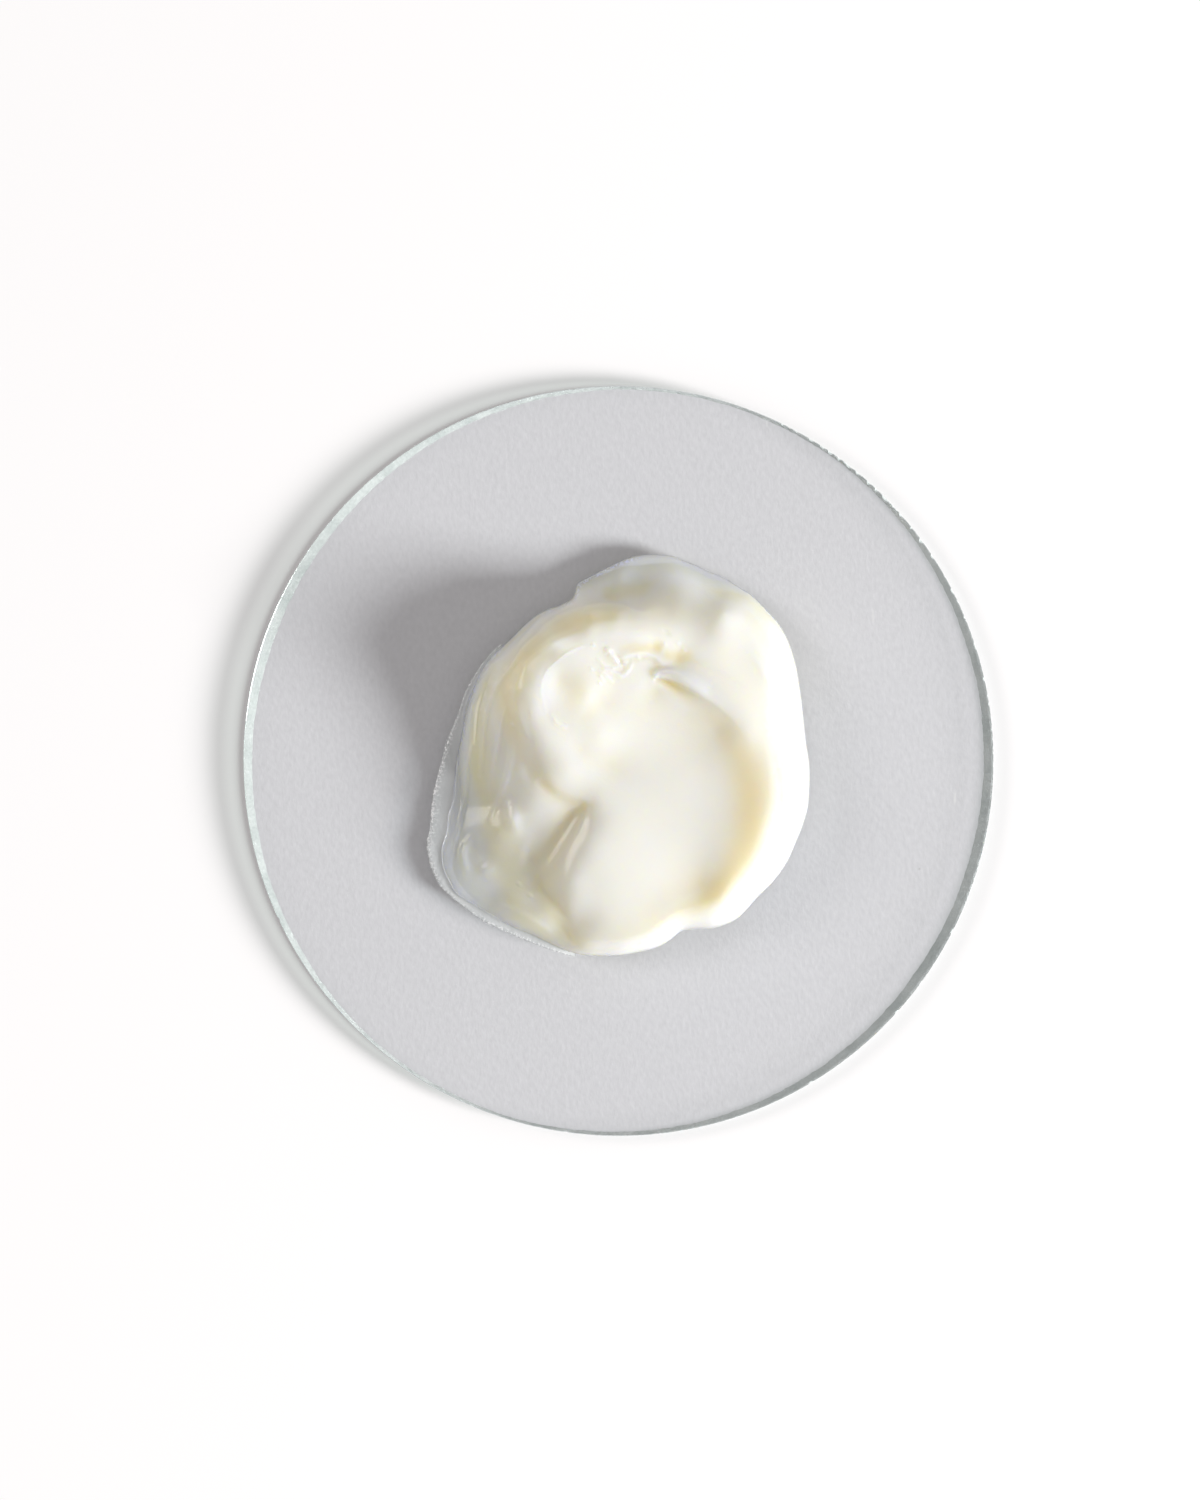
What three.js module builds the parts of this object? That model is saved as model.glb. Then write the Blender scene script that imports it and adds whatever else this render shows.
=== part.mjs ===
// A swirled dollop of ivory shaving cream, dished out on a round glass plate
// that lies loose on a sheet of fine-grained card cut to the same round.
//
// Millimetres, +Z up.  The origin is at the centre of the card's underside,
// so the assembly stands on Z = 0.  +X is to the right and +Y away from a
// person who looks down on the plate.  From the bottom up:
//
//   backing_sheet   round card, 0 .. SHEET_THICKNESS
//   glass_plate     round float glass with arrised edges, resting on the card
//   cream_dollop    the cream, one lump with a flat foot on the glass
//   wet_film        the thin clear liquid that has crept out from under the
//                   cream along its left side
import * as THREE from 'three';

// ---------------------------------------------------------------- dimensions
const PLATE_DIAMETER = 100;      // glass disc
const PLATE_THICKNESS = 2;       // float glass
const ARRIS = 0.25;              // small ground chamfer round the top rim
const GROUND_WIDTH = 0.85;       // rough ground slope round the foot of the glass,
const GROUND_RISE = 0.55;        // as deep and as high as this
const SHEET_DIAMETER = 99.5;     // card, hidden just inside the glass rim
const SHEET_THICKNESS = 0.5;     // heavy card
const ROUND_STEPS = 96;          // facets round the discs

const CREAM_STEPS_ROUND = 84;    // sectors of the cream's surface
const CREAM_RINGS = [0.13, 0.26, 0.38, 0.49, 0.59, 0.68, 0.76, 0.83, 0.89, 0.935, 0.967, 0.988, 1];
const CREAM_CENTRE = [0.5, 0.4]; // the outline is star-shaped about this point
const CREAM_LEAST_HEIGHT = 0.5;  // nowhere thinner than this inside its edge
const SURFACE_SOFTNESS = 0.3;    // how far the surface may pass a height point

const FILM_THICKNESS = 0.4;      // the liquid film
const FILM_GAP = 0.2;            // clearance between the film and the cream

// The foot of the cream on the glass, anticlockwise seen from below and
// clockwise seen from above, starting at the top.
const CREAM_OUTLINE = [
  [3.8, 27.5], [5.7, 27.5], [7.4, 27.3], [8.5, 26.8], [10.3, 26.1], [12.0, 25.3],
  [14.1, 24.4], [16.2, 23.1], [17.8, 22.1], [19.8, 20.1], [21.3, 18.4], [22.6, 16.1],
  [23.6, 13.0], [24.2, 9.5], [24.6, 6.4], [25.0, 2.6], [25.4, 0.0], [25.5, -2.3],
  [25.4, -4.3], [25.2, -6.4], [24.4, -9.0], [23.7, -10.7], [22.4, -13.6], [20.5, -16.2],
  [18.5, -18.2], [17.0, -19.9], [15.7, -21.1], [14.3, -21.8], [12.6, -22.3], [10.9, -22.4],
  [9.2, -22.5], [8.2, -22.8], [6.8, -23.9], [5.0, -24.9], [2.7, -25.5], [0.4, -25.9],
  [-2.2, -26.0], [-4.4, -25.9], [-6.1, -25.6], [-7.8, -25.0], [-9.7, -24.1], [-11.6, -23.2],
  [-13.8, -22.3], [-15.9, -21.3], [-17.8, -20.2], [-19.3, -19.3], [-20.7, -18.5], [-21.9, -17.6],
  [-22.6, -16.3], [-23.4, -14.6], [-23.7, -12.8], [-23.6, -11.4], [-23.0, -9.4], [-22.8, -7.3],
  [-22.2, -5.1], [-22.0, -2.8], [-21.8, 0.0], [-21.3, 2.4], [-20.9, 4.9], [-20.7, 6.6],
  [-20.2, 8.2], [-19.5, 9.8], [-18.9, 11.2], [-18.2, 12.5], [-17.2, 13.8], [-15.7, 15.1],
  [-14.1, 16.6], [-12.7, 18.0], [-11.3, 19.2], [-9.8, 20.1], [-7.8, 20.8], [-6.2, 21.7],
  [-5.7, 22.8], [-5.4, 23.7], [-4.0, 24.5], [-2.3, 25.4], [-0.9, 26.1], [0.4, 26.7],
  [2.1, 27.3],
];

// Heights of the swirl's surface above the glass, as [x, y, height].  A
// smooth bending surface is drawn through them: a crescent ridge down the
// right side, a broad basin inside it, a finger-sized dimple with a raised
// wall at the upper left, a terraced flank that falls away on the left and
// a thin lobe at the top.
const CREAM_HEIGHTS = [
  [19.4, -5.2, 7.75], [19.1, -1.9, 7.75], [18.2, 1.3, 7.75], [16.9, 3.9, 8], [15.1, 5.9, 8],
  [13.4, 7.6, 8], [10.9, 9.5, 8], [8.3, 10.7, 7.75], [19.1, -9.2, 7.75], [18.2, -12.5, 7.5],
  [16.5, -15.9, 7.25], [14.2, -18.5, 7], [10.9, -20.8, 6.5], [6.9, -22.3, 6], [2.9, -23.5, 5.5],
  [-1.1, -24.1, 4.75], [-4.5, -24.3, 4], [24.2, -2.5, 8], [22.9, -13.2, 7.5], [16.5, -19.6, 6.75],
  [22.9, 8.1, 7], [21.5, 13.5, 6], [16.9, 19.5, 4], [16.5, -5.2, 7.4], [15.8, -0.5, 7.4],
  [12.9, 4.1, 7.25], [9.5, 6.5, 7.25], [5.5, 8.1, 7.25], [13.5, -5.2, 7.1], [8.2, -2.5, 7],
  [2.9, 0.1, 7], [-1.1, -0.5, 7], [2.9, -7.9, 7], [8.2, -11.9, 6.5], [13.8, -11.9, 7],
  [10.9, -16.5, 6], [4.2, -15.9, 6.25], [-0.5, -11.9, 6.75], [-3.8, -15.9, 6.25], [-1.8, -20.5, 5.5],
  [4.2, -20.1, 5.75], [2.9, 10.1, 7.5], [4.9, 9.2, 7.25], [0.5, 7.5, 7.5], [-2.5, 3.5, 7.75],
  [-5.1, 1.5, 7.5], [-5.8, 9.7, 8.3], [-7.8, 10.8, 8.2], [-3.8, 8.8, 8.3], [-12.9, 9.5, 8.5],
  [-11.5, 12.4, 8.5], [-9.1, 14.5, 8.25], [-5.8, 16.1, 8.25], [-2.5, 16.9, 8.25], [-9.4, 6.5, 8.25],
  [-7.8, 4.9, 8], [-4.9, 5.7, 8], [-2.5, 7.9, 7.75], [-0.9, 10.8, 7.75], [-1.4, 14.1, 8],
  [4.5, 14.8, 7.75], [7.9, 13.9, 7.6], [2.6, 16.1, 8], [0.5, 17.5, 8], [6.2, 16.1, 7.75],
  [10.9, 14.8, 7.5], [5.5, 12.4, 7.6], [10.9, 12.4, 7.75], [13.8, 10.1, 8], [16.5, 7.5, 8],
  [19.1, 4.1, 7.75], [15.5, 13.5, 7.25], [11.5, 17.5, 6.5], [13.8, 19.5, 5.5], [9.5, 21.1, 3.75],
  [6.2, 20.4, 5.25], [3.5, 19.6, 6.5], [18.9, 10.8, 7.25], [20.9, 5.5, 7.5], [4.2, 25.5, 0.9],
  [0.5, 25.2, 0.9], [-2.5, 23.9, 1.1], [8.2, 25.2, 1.1], [2.9, 23.1, 2], [10.9, 23.1, 1.8],
  [-0.9, 21.9, 2.75], [-4.5, 22.8, 1.5], [13.5, 22.1, 2.25], [-7.5, 19.1, 4.75], [-11.1, 17.1, 4],
  [-14.5, 13.7, 4.25], [-16.5, 9.5, 4], [-17.8, 5.5, 3.25], [-19.0, 0.1, 2.25], [-19.8, -5.2, 1],
  [-20.5, -9.9, 0.75], [-21.1, -13.9, 0.75], [-9.3, 16.1, 8], [-12.6, 13.2, 7.5], [-14.5, 8.8, 6.75],
  [-14.2, 5.5, 6.75], [-3.8, 19.5, 7.25], [-0.1, 19.5, 7.25], [-15.1, 1.5, 4.75], [-15.8, -2.5, 3.75],
  [-16.2, -5.2, 2.75], [-15.8, -9.2, 3.25], [-14.7, -12.5, 2.75], [-11.8, -5.2, 5.25], [-11.1, -9.2, 4.25],
  [-10.7, -13.2, 3.5], [-10.5, -17.2, 3.25], [-12.1, -1.2, 5.75], [-9.8, -3.2, 6.5], [-19.0, -11.9, 1.25],
  [-18.5, -15.6, 1.25], [-16.9, -18.3, 1], [-16.1, -15.6, 1.75], [-13.8, -18.5, 2.25], [-10.5, -21.2, 2.75],
  [-8.1, -22.8, 2.75], [-2.5, -5.2, 7], [-4.1, -10.3, 6.6], [-5.5, -13.1, 6.25], [-6.6, -15.9, 5.75],
  [-6.2, -18.7, 5.25], [-5.1, -21.5, 4.25], [-6.7, -1.2, 7.5], [-7.8, 1.7, 7.75], [-9.8, 3.5, 8],
  [-6.2, -7.2, 5.5], [-8.3, -10.5, 4.75], [-9.5, -13.9, 4.25], [-9.5, -17.6, 3.75], [-8.1, -20.1, 3.75],
];

// How wide the rounded shoulder at the cream's edge is, as [angle, width]:
// degrees anticlockwise from +X, and millimetres.
const SHOULDER = [
  [0, 6.0], [30, 5.0], [55, 4.0], [75, 1.6], [90, 0.7], [110, 0.7], [118, 1.0], [125, 1.4],
  [150, 1.5], [180, 1.2], [205, 1.2], [230, 1.4], [250, 2.6], [270, 2.4], [290, 3.0], [310, 4.6],
  [335, 5.6], [360, 6.0],
];

// The outer edge of the liquid film, from the upper left down to the foot.
const FILM_EDGE = [
  [-15.7, 15.6], [-16.6, 14.8], [-18.2, 13.0], [-19.5, 11.0], [-20.5, 9.1], [-21.1, 7.2],
  [-21.9, 5.1], [-22.9, 2.8], [-23.5, 0.5], [-24.2, -2.3], [-24.8, -4.6], [-25.0, -7.0],
  [-25.2, -9.3], [-25.6, -10.9], [-25.4, -12.8], [-24.8, -14.8], [-23.7, -16.8], [-22.1, -18.3],
  [-20.1, -19.9], [-17.8, -21.5], [-15.4, -22.6], [-12.7, -23.8], [-10.4, -24.7], [-7.8, -25.6],
  [-5.8, -26.1],
];

// ------------------------------------------------------------------- curves
// A closed curve through the points, smoothed by Catmull-Rom segments.
function closedCurve(points, steps) {
  const out = [];
  const n = points.length;
  for (let i = 0; i < n; i++) {
    const p0 = points[(i + n - 1) % n];
    const p1 = points[i];
    const p2 = points[(i + 1) % n];
    const p3 = points[(i + 2) % n];
    for (let k = 0; k < steps; k++) {
      const t = k / steps;
      const at = (c) => 0.5 * (2 * p1[c] + (p2[c] - p0[c]) * t
        + (2 * p0[c] - 5 * p1[c] + 4 * p2[c] - p3[c]) * t * t
        + (3 * p1[c] - p0[c] - 3 * p2[c] + p3[c]) * t * t * t);
      out.push([at(0), at(1)]);
    }
  }
  return out;
}

function table(rows, x) {
  for (let i = 1; i < rows.length; i++) {
    if (x <= rows[i][0]) {
      const s = (x - rows[i - 1][0]) / (rows[i][0] - rows[i - 1][0]);
      return rows[i - 1][1] + s * (rows[i][1] - rows[i - 1][1]);
    }
  }
  return rows[rows.length - 1][1];
}

// ------------------------------------------------------ the cream's surface
const outline = closedCurve(CREAM_OUTLINE, 8);

// Distance from the centre to the outline in one direction.
const polar = outline
  .map(([x, y]) => {
    const dx = x - CREAM_CENTRE[0];
    const dy = y - CREAM_CENTRE[1];
    return [(Math.atan2(dy, dx) + 2 * Math.PI) % (2 * Math.PI), Math.hypot(dx, dy)];
  })
  .sort((a, b) => a[0] - b[0]);
const first = polar[0];
const last = polar[polar.length - 1];
polar.unshift([last[0] - 2 * Math.PI, last[1]]);
polar.push([first[0] + 2 * Math.PI, first[1]]);
const reach = (angle) => table(polar, angle);

function edgeDistance(x, y) {
  let best = Infinity;
  for (let i = 0; i < outline.length; i++) {
    const [ax, ay] = outline[i];
    const [bx, by] = outline[(i + 1) % outline.length];
    const dx = bx - ax;
    const dy = by - ay;
    const t = Math.min(1, Math.max(0, ((x - ax) * dx + (y - ay) * dy) / (dx * dx + dy * dy)));
    best = Math.min(best, Math.hypot(x - ax - t * dx, y - ay - t * dy));
  }
  return best;
}

// Thin-plate surface through the height points.
const kernel = (r) => (r > 0 ? r * r * Math.log(r) : 0);
function bendingSurface(points, softness) {
  const n = points.length;
  const m = n + 3;
  const rows = Array.from({ length: m }, () => new Float64Array(m + 1));
  for (let i = 0; i < n; i++) {
    for (let j = 0; j < n; j++) {
      rows[i][j] = kernel(Math.hypot(points[i][0] - points[j][0], points[i][1] - points[j][1]));
    }
    rows[i][i] += softness;
    rows[i][n] = rows[n][i] = 1;
    rows[i][n + 1] = rows[n + 1][i] = points[i][0];
    rows[i][n + 2] = rows[n + 2][i] = points[i][1];
    rows[i][m] = points[i][2];
  }
  for (let c = 0; c < m; c++) {
    let p = c;
    for (let r = c + 1; r < m; r++) if (Math.abs(rows[r][c]) > Math.abs(rows[p][c])) p = r;
    [rows[c], rows[p]] = [rows[p], rows[c]];
    for (let r = c + 1; r < m; r++) {
      const f = rows[r][c] / rows[c][c];
      if (f !== 0) for (let k = c; k <= m; k++) rows[r][k] -= f * rows[c][k];
    }
  }
  const w = new Float64Array(m);
  for (let c = m - 1; c >= 0; c--) {
    let s = rows[c][m];
    for (let k = c + 1; k < m; k++) s -= rows[c][k] * w[k];
    w[c] = s / rows[c][c];
  }
  return (x, y) => {
    let z = w[n] + w[n + 1] * x + w[n + 2] * y;
    for (let i = 0; i < n; i++) z += w[i] * kernel(Math.hypot(x - points[i][0], y - points[i][1]));
    return z;
  };
}
const swirl = bendingSurface(CREAM_HEIGHTS, SURFACE_SOFTNESS);

function creamHeight(x, y) {
  const turn = Math.atan2(y - CREAM_CENTRE[1], x - CREAM_CENTRE[0]);
  const width = table(SHOULDER, ((turn * 180) / Math.PI + 360) % 360);
  const u = Math.min(1, edgeDistance(x, y) / width);
  return Math.sqrt(1 - (1 - u) * (1 - u)) * Math.max(CREAM_LEAST_HEIGHT, swirl(x, y));
}

// ------------------------------------------------------------------- shapes
function solid(positions, triangles) {
  const g = new THREE.BufferGeometry();
  g.setAttribute('position', new THREE.Float32BufferAttribute(positions, 3));
  g.setIndex(triangles);
  g.computeVertexNormals();
  return g;
}

// A disc standing on Z = 0. Where top is given, the upper rim has a chamfer of
// that size, and a wider slope footWidth across and footRise high is ground
// round the foot; otherwise both rims are left square.
function disc(diameter, thickness, top, footWidth, footRise) {
  const r = diameter / 2;
  const profile = top > 0
    ? [[0, 0], [r - footWidth, 0], [r, footRise], [r, thickness - top], [r - top, thickness], [0, thickness]]
    : [[0, 0], [r, 0], [r, thickness], [0, thickness]];
  const g = new THREE.LatheGeometry(profile.map(([x, y]) => new THREE.Vector2(x, y)), ROUND_STEPS);
  g.rotateX(Math.PI / 2);
  return g;
}

// The cream: rings of the outline shrunk towards the centre carry the top
// surface, and one flat fan closes the foot.
function creamGeometry() {
  const n = CREAM_STEPS_ROUND;
  const [cx, cy] = CREAM_CENTRE;
  const positions = [cx, cy, creamHeight(cx, cy)];
  for (const t of CREAM_RINGS) {
    for (let i = 0; i < n; i++) {
      const a = (i / n) * 2 * Math.PI;
      const r = reach(a) * t;
      const x = cx + r * Math.cos(a);
      const y = cy + r * Math.sin(a);
      positions.push(x, y, t === 1 ? 0 : creamHeight(x, y));
    }
  }
  const foot = positions.length / 3;
  positions.push(cx, cy, 0);
  const at = (ring, i) => 1 + ring * n + (i % n);
  const tris = [];
  for (let i = 0; i < n; i++) tris.push(0, at(0, i), at(0, i + 1));
  for (let k = 0; k + 1 < CREAM_RINGS.length; k++) {
    for (let i = 0; i < n; i++) {
      tris.push(at(k, i), at(k + 1, i), at(k + 1, i + 1));
      tris.push(at(k, i), at(k + 1, i + 1), at(k, i + 1));
    }
  }
  const rim = CREAM_RINGS.length - 1;
  for (let i = 0; i < n; i++) tris.push(foot, at(rim, i + 1), at(rim, i));
  return solid(positions, tris);
}

// The film: a thin crescent between its outer edge and the cream's foot.
function filmGeometry() {
  const outer = FILM_EDGE;
  const inner = outer.map(([x, y]) => {
    const a = (Math.atan2(y - CREAM_CENTRE[1], x - CREAM_CENTRE[0]) + 2 * Math.PI) % (2 * Math.PI);
    const r = reach(a) + FILM_GAP;
    const own = Math.hypot(x - CREAM_CENTRE[0], y - CREAM_CENTRE[1]);
    const s = Math.min(r, own - 0.12);
    return [CREAM_CENTRE[0] + s * Math.cos(a), CREAM_CENTRE[1] + s * Math.sin(a)];
  });
  const n = outer.length;
  const positions = [];
  for (const z of [0, FILM_THICKNESS]) {
    for (const [x, y] of outer) positions.push(x, y, z);
    for (const [x, y] of inner) positions.push(x, y, z);
  }
  // outer low 0.., inner low n.., outer high 2n.., inner high 3n..
  const tris = [];
  for (let i = 0; i + 1 < n; i++) {
    const j = i + 1;
    const quad = (a, b, c, d) => tris.push(a, b, c, a, c, d);
    quad(2 * n + i, 2 * n + j, 3 * n + j, 3 * n + i); // top
    quad(i, n + i, n + j, j);                         // foot
    quad(i, j, 2 * n + j, 2 * n + i);                 // outer wall
    quad(n + i, 3 * n + i, 3 * n + j, n + j);         // inner wall
  }
  const e = n - 1;
  tris.push(0, 2 * n, 3 * n, 0, 3 * n, n);
  tris.push(e, n + e, 3 * n + e, e, 3 * n + e, 2 * n + e);
  return solid(positions, tris);
}

// ------------------------------------------------------------------ assembly
function part(name, geometry, material) {
  const mesh = new THREE.Mesh(geometry, material);
  mesh.name = name;
  return mesh;
}

const assembly = new THREE.Group();

assembly.add(part('backing_sheet', disc(SHEET_DIAMETER, SHEET_THICKNESS, 0),
  new THREE.MeshStandardMaterial({ color: 0xc9c9cb, roughness: 0.9, metalness: 0 })));

const plate = new THREE.Group();       // everything that lifts off the sheet
plate.position.z = SHEET_THICKNESS;
plate.add(part('glass_plate', disc(PLATE_DIAMETER, PLATE_THICKNESS, ARRIS, GROUND_WIDTH, GROUND_RISE),
  new THREE.MeshStandardMaterial({ color: 0xdfeae6, roughness: 0.05, metalness: 0, transparent: true, opacity: 0.35 })));

const onGlass = new THREE.Group();     // what lies on the glass
onGlass.position.z = PLATE_THICKNESS;
onGlass.add(part('cream_dollop', creamGeometry(),
  new THREE.MeshStandardMaterial({ color: 0xf0eee2, roughness: 0.25, metalness: 0 })));
onGlass.add(part('wet_film', filmGeometry(),
  new THREE.MeshStandardMaterial({ color: 0xd6dadb, roughness: 0.1, metalness: 0 })));
plate.add(onGlass);
assembly.add(plate);

export default assembly;
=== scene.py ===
# A swirled dollop of ivory shaving cream on a round clear glass plate that
# lies loose on a round of fine-grained pale card.  Metres, in the packed
# model's own frame: +Z up, the card's underside on Z = 0.
import math

import bpy
import numpy as np
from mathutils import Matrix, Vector


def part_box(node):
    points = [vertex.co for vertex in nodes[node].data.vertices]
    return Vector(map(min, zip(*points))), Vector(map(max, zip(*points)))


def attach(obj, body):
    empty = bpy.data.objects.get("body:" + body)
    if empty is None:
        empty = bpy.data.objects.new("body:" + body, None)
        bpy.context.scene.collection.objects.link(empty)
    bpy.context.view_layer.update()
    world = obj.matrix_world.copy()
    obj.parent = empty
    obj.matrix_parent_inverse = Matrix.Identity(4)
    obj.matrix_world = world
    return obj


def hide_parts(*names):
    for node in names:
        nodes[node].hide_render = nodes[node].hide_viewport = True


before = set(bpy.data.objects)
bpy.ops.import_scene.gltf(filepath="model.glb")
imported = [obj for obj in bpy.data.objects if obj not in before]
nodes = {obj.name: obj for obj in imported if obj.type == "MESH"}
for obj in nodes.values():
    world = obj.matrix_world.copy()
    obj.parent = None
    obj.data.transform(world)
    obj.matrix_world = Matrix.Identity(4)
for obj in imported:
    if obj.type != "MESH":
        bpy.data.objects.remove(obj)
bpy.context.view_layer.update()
MM = 0.001

SHEET_LO, SHEET_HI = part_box("backing_sheet")
PLATE_LO, PLATE_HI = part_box("glass_plate")
SHEET_R = (SHEET_HI.x - SHEET_LO.x) / 2 / MM
PLATE_R = (PLATE_HI.x - PLATE_LO.x) / 2 / MM
Z_CARD = SHEET_HI.z / MM           # top of the card
Z_GLASS = PLATE_HI.z / MM          # top of the glass
REST_GAP = 0.012                   # the air left between two touching faces

# ---------------------------------------------------------------- the cream
# The foot of the cream on the glass, in millimetres.
OUTLINE = [
    [3.8, 27.5], [5.7, 27.5], [7.4, 27.3], [8.5, 26.8], [10.3, 26.1], [12, 25.3], [14.1, 24.4],
    [16.2, 23.1], [17.8, 22.1], [19.8, 20.1], [21.3, 18.4], [22.6, 16.1], [23.6, 13], [24.2, 9.5],
    [24.6, 6.4], [25, 2.6], [25.4, 0], [25.5, -2.3], [25.4, -4.3], [25.2, -6.4], [24.4, -9],
    [23.7, -10.7], [22.4, -13.6], [20.5, -16.2], [18.5, -18.2], [17, -19.9], [15.7, -21.1], [14.3, -21.8],
    [12.6, -22.3], [10.9, -22.4], [9.2, -22.5], [8.2, -22.8], [6.8, -23.9], [5, -24.9], [2.7, -25.5],
    [0.4, -25.9], [-2.2, -26], [-4.4, -25.9], [-6.1, -25.6], [-7.8, -25], [-9.7, -24.1], [-11.6, -23.2],
    [-13.8, -22.3], [-15.9, -21.3], [-17.8, -20.2], [-19.3, -19.3], [-20.7, -18.5], [-21.9, -17.6], [-22.6, -16.3],
    [-23.4, -14.6], [-23.7, -12.8], [-23.6, -11.4], [-23, -9.4], [-22.8, -7.3], [-22.2, -5.1], [-22, -2.8],
    [-21.8, 0], [-21.3, 2.4], [-20.9, 4.9], [-20.7, 6.6], [-20.2, 8.2], [-19.5, 9.8], [-18.9, 11.2],
    [-18.2, 12.5], [-17.2, 13.8], [-15.7, 15.1], [-14.1, 16.6], [-12.7, 18], [-11.3, 19.2], [-9.8, 20.1],
    [-7.8, 20.8], [-6.2, 21.7], [-5.7, 22.8], [-5.4, 23.7], [-4, 24.5], [-2.3, 25.4], [-0.9, 26.1],
    [0.4, 26.7], [2.1, 27.3],
]
# Heights of the swirl above the glass: [x, y, height].
HEIGHTS = [
    [19.4, -5.2, 7.8], [19.1, -1.9, 7.8], [18.2, 1.3, 7.8], [16.9, 3.9, 8], [15.1, 5.9, 8], [13.4, 7.6, 8],
    [10.9, 9.5, 8], [8.3, 10.7, 7.8], [19.1, -9.2, 7.8], [18.2, -12.5, 7.5], [16.5, -15.9, 7.2], [14.2, -18.5, 7],
    [10.9, -20.8, 6.5], [6.9, -22.3, 6], [2.9, -23.5, 5.5], [-1.1, -24.1, 4.8], [-4.5, -24.3, 4], [24.2, -2.5, 8],
    [22.9, -13.2, 7.5], [16.5, -19.6, 6.8], [22.9, 8.1, 7], [21.5, 13.5, 6], [16.9, 19.5, 4], [16.5, -5.2, 7.4],
    [15.8, -0.5, 7.4], [12.9, 4.1, 7.2], [9.5, 6.5, 7.2], [5.5, 8.1, 7.2], [13.5, -5.2, 7.1], [8.2, -2.5, 7],
    [2.9, 0.1, 7], [-1.1, -0.5, 7], [2.9, -7.9, 7], [8.2, -11.9, 6.5], [13.8, -11.9, 7], [10.9, -16.5, 6],
    [4.2, -15.9, 6.2], [-0.5, -11.9, 6.8], [-3.8, -15.9, 6.2], [-1.8, -20.5, 5.5], [4.2, -20.1, 5.8], [2.9, 10.1, 7.5],
    [4.9, 9.2, 7.2], [0.5, 7.5, 7.5], [-2.5, 3.5, 7.8], [-5.1, 1.5, 7.5], [-5.8, 9.7, 8.3], [-7.8, 10.8, 8.2],
    [-3.8, 8.8, 8.3], [-12.9, 9.5, 8.5], [-11.5, 12.4, 8.5], [-9.1, 14.5, 8.2], [-5.8, 16.1, 8.2], [-2.5, 16.9, 8.2],
    [-9.4, 6.5, 8.2], [-7.8, 4.9, 8], [-4.9, 5.7, 8], [-2.5, 7.9, 7.8], [-0.9, 10.8, 7.8], [-1.4, 14.1, 8],
    [4.5, 14.8, 7.8], [7.9, 13.9, 7.6], [2.6, 16.1, 8], [0.5, 17.5, 8], [6.2, 16.1, 7.8], [10.9, 14.8, 7.5],
    [5.5, 12.4, 7.6], [10.9, 12.4, 7.8], [13.8, 10.1, 8], [16.5, 7.5, 8], [19.1, 4.1, 7.8], [15.5, 13.5, 7.2],
    [11.5, 17.5, 6.5], [13.8, 19.5, 5.5], [9.5, 21.1, 3.8], [6.2, 20.4, 5.2], [3.5, 19.6, 6.5], [18.9, 10.8, 7.2],
    [20.9, 5.5, 7.5], [4.2, 25.5, 0.9], [0.5, 25.2, 0.9], [-2.5, 23.9, 1.1], [8.2, 25.2, 1.1], [2.9, 23.1, 2],
    [10.9, 23.1, 1.8], [-0.9, 21.9, 2.8], [-4.5, 22.8, 1.5], [13.5, 22.1, 2.2], [-7.5, 19.1, 4.8], [-11.1, 17.1, 4],
    [-14.5, 13.7, 4.2], [-16.5, 9.5, 4], [-17.8, 5.5, 3.2], [-19, 0.1, 2.2], [-19.8, -5.2, 1], [-20.5, -9.9, 0.8],
    [-21.1, -13.9, 0.8], [-9.3, 16.1, 8], [-12.6, 13.2, 7.5], [-14.5, 8.8, 6.8], [-14.2, 5.5, 6.8], [-3.8, 19.5, 7.2],
    [-0.1, 19.5, 7.2], [-15.1, 1.5, 4.8], [-15.8, -2.5, 3.8], [-16.2, -5.2, 2.8], [-15.8, -9.2, 3.2], [-14.7, -12.5, 2.8],
    [-11.8, -5.2, 5.2], [-11.1, -9.2, 4.2], [-10.7, -13.2, 3.5], [-10.5, -17.2, 3.2], [-12.1, -1.2, 5.8], [-9.8, -3.2, 6.5],
    [-19, -11.9, 1.2], [-18.5, -15.6, 1.2], [-16.9, -18.3, 1], [-16.1, -15.6, 1.8], [-13.8, -18.5, 2.2], [-10.5, -21.2, 2.8],
    [-8.1, -22.8, 2.8], [-2.5, -5.2, 7], [-4.1, -10.3, 6.6], [-5.5, -13.1, 6.2], [-6.6, -15.9, 5.8], [-6.2, -18.7, 5.2],
    [-5.1, -21.5, 4.2], [-6.7, -1.2, 7.5], [-7.8, 1.7, 7.8], [-9.8, 3.5, 8], [-6.2, -7.2, 5.5], [-8.3, -10.5, 4.8],
    [-9.5, -13.9, 4.2], [-9.5, -17.6, 3.8], [-8.1, -20.1, 3.8],
]
# Width of the rounded shoulder at the edge: [angle, width].
SHOULDER = [[0, 6.0],
            [30, 5.0],
            [55, 4.0],
            [75, 1.6],
            [90, 0.7],
            [110, 0.7],
            [118, 1.0],
            [125, 1.4],
            [150, 1.5],
            [180, 1.2],
            [205, 1.2],
            [230, 1.4],
            [250, 2.6],
            [270, 2.4],
            [290, 3.0],
            [310, 4.6],
            [335, 5.6],
            [360, 6.0]]
CENTRE = (0.5, 0.4)

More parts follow.
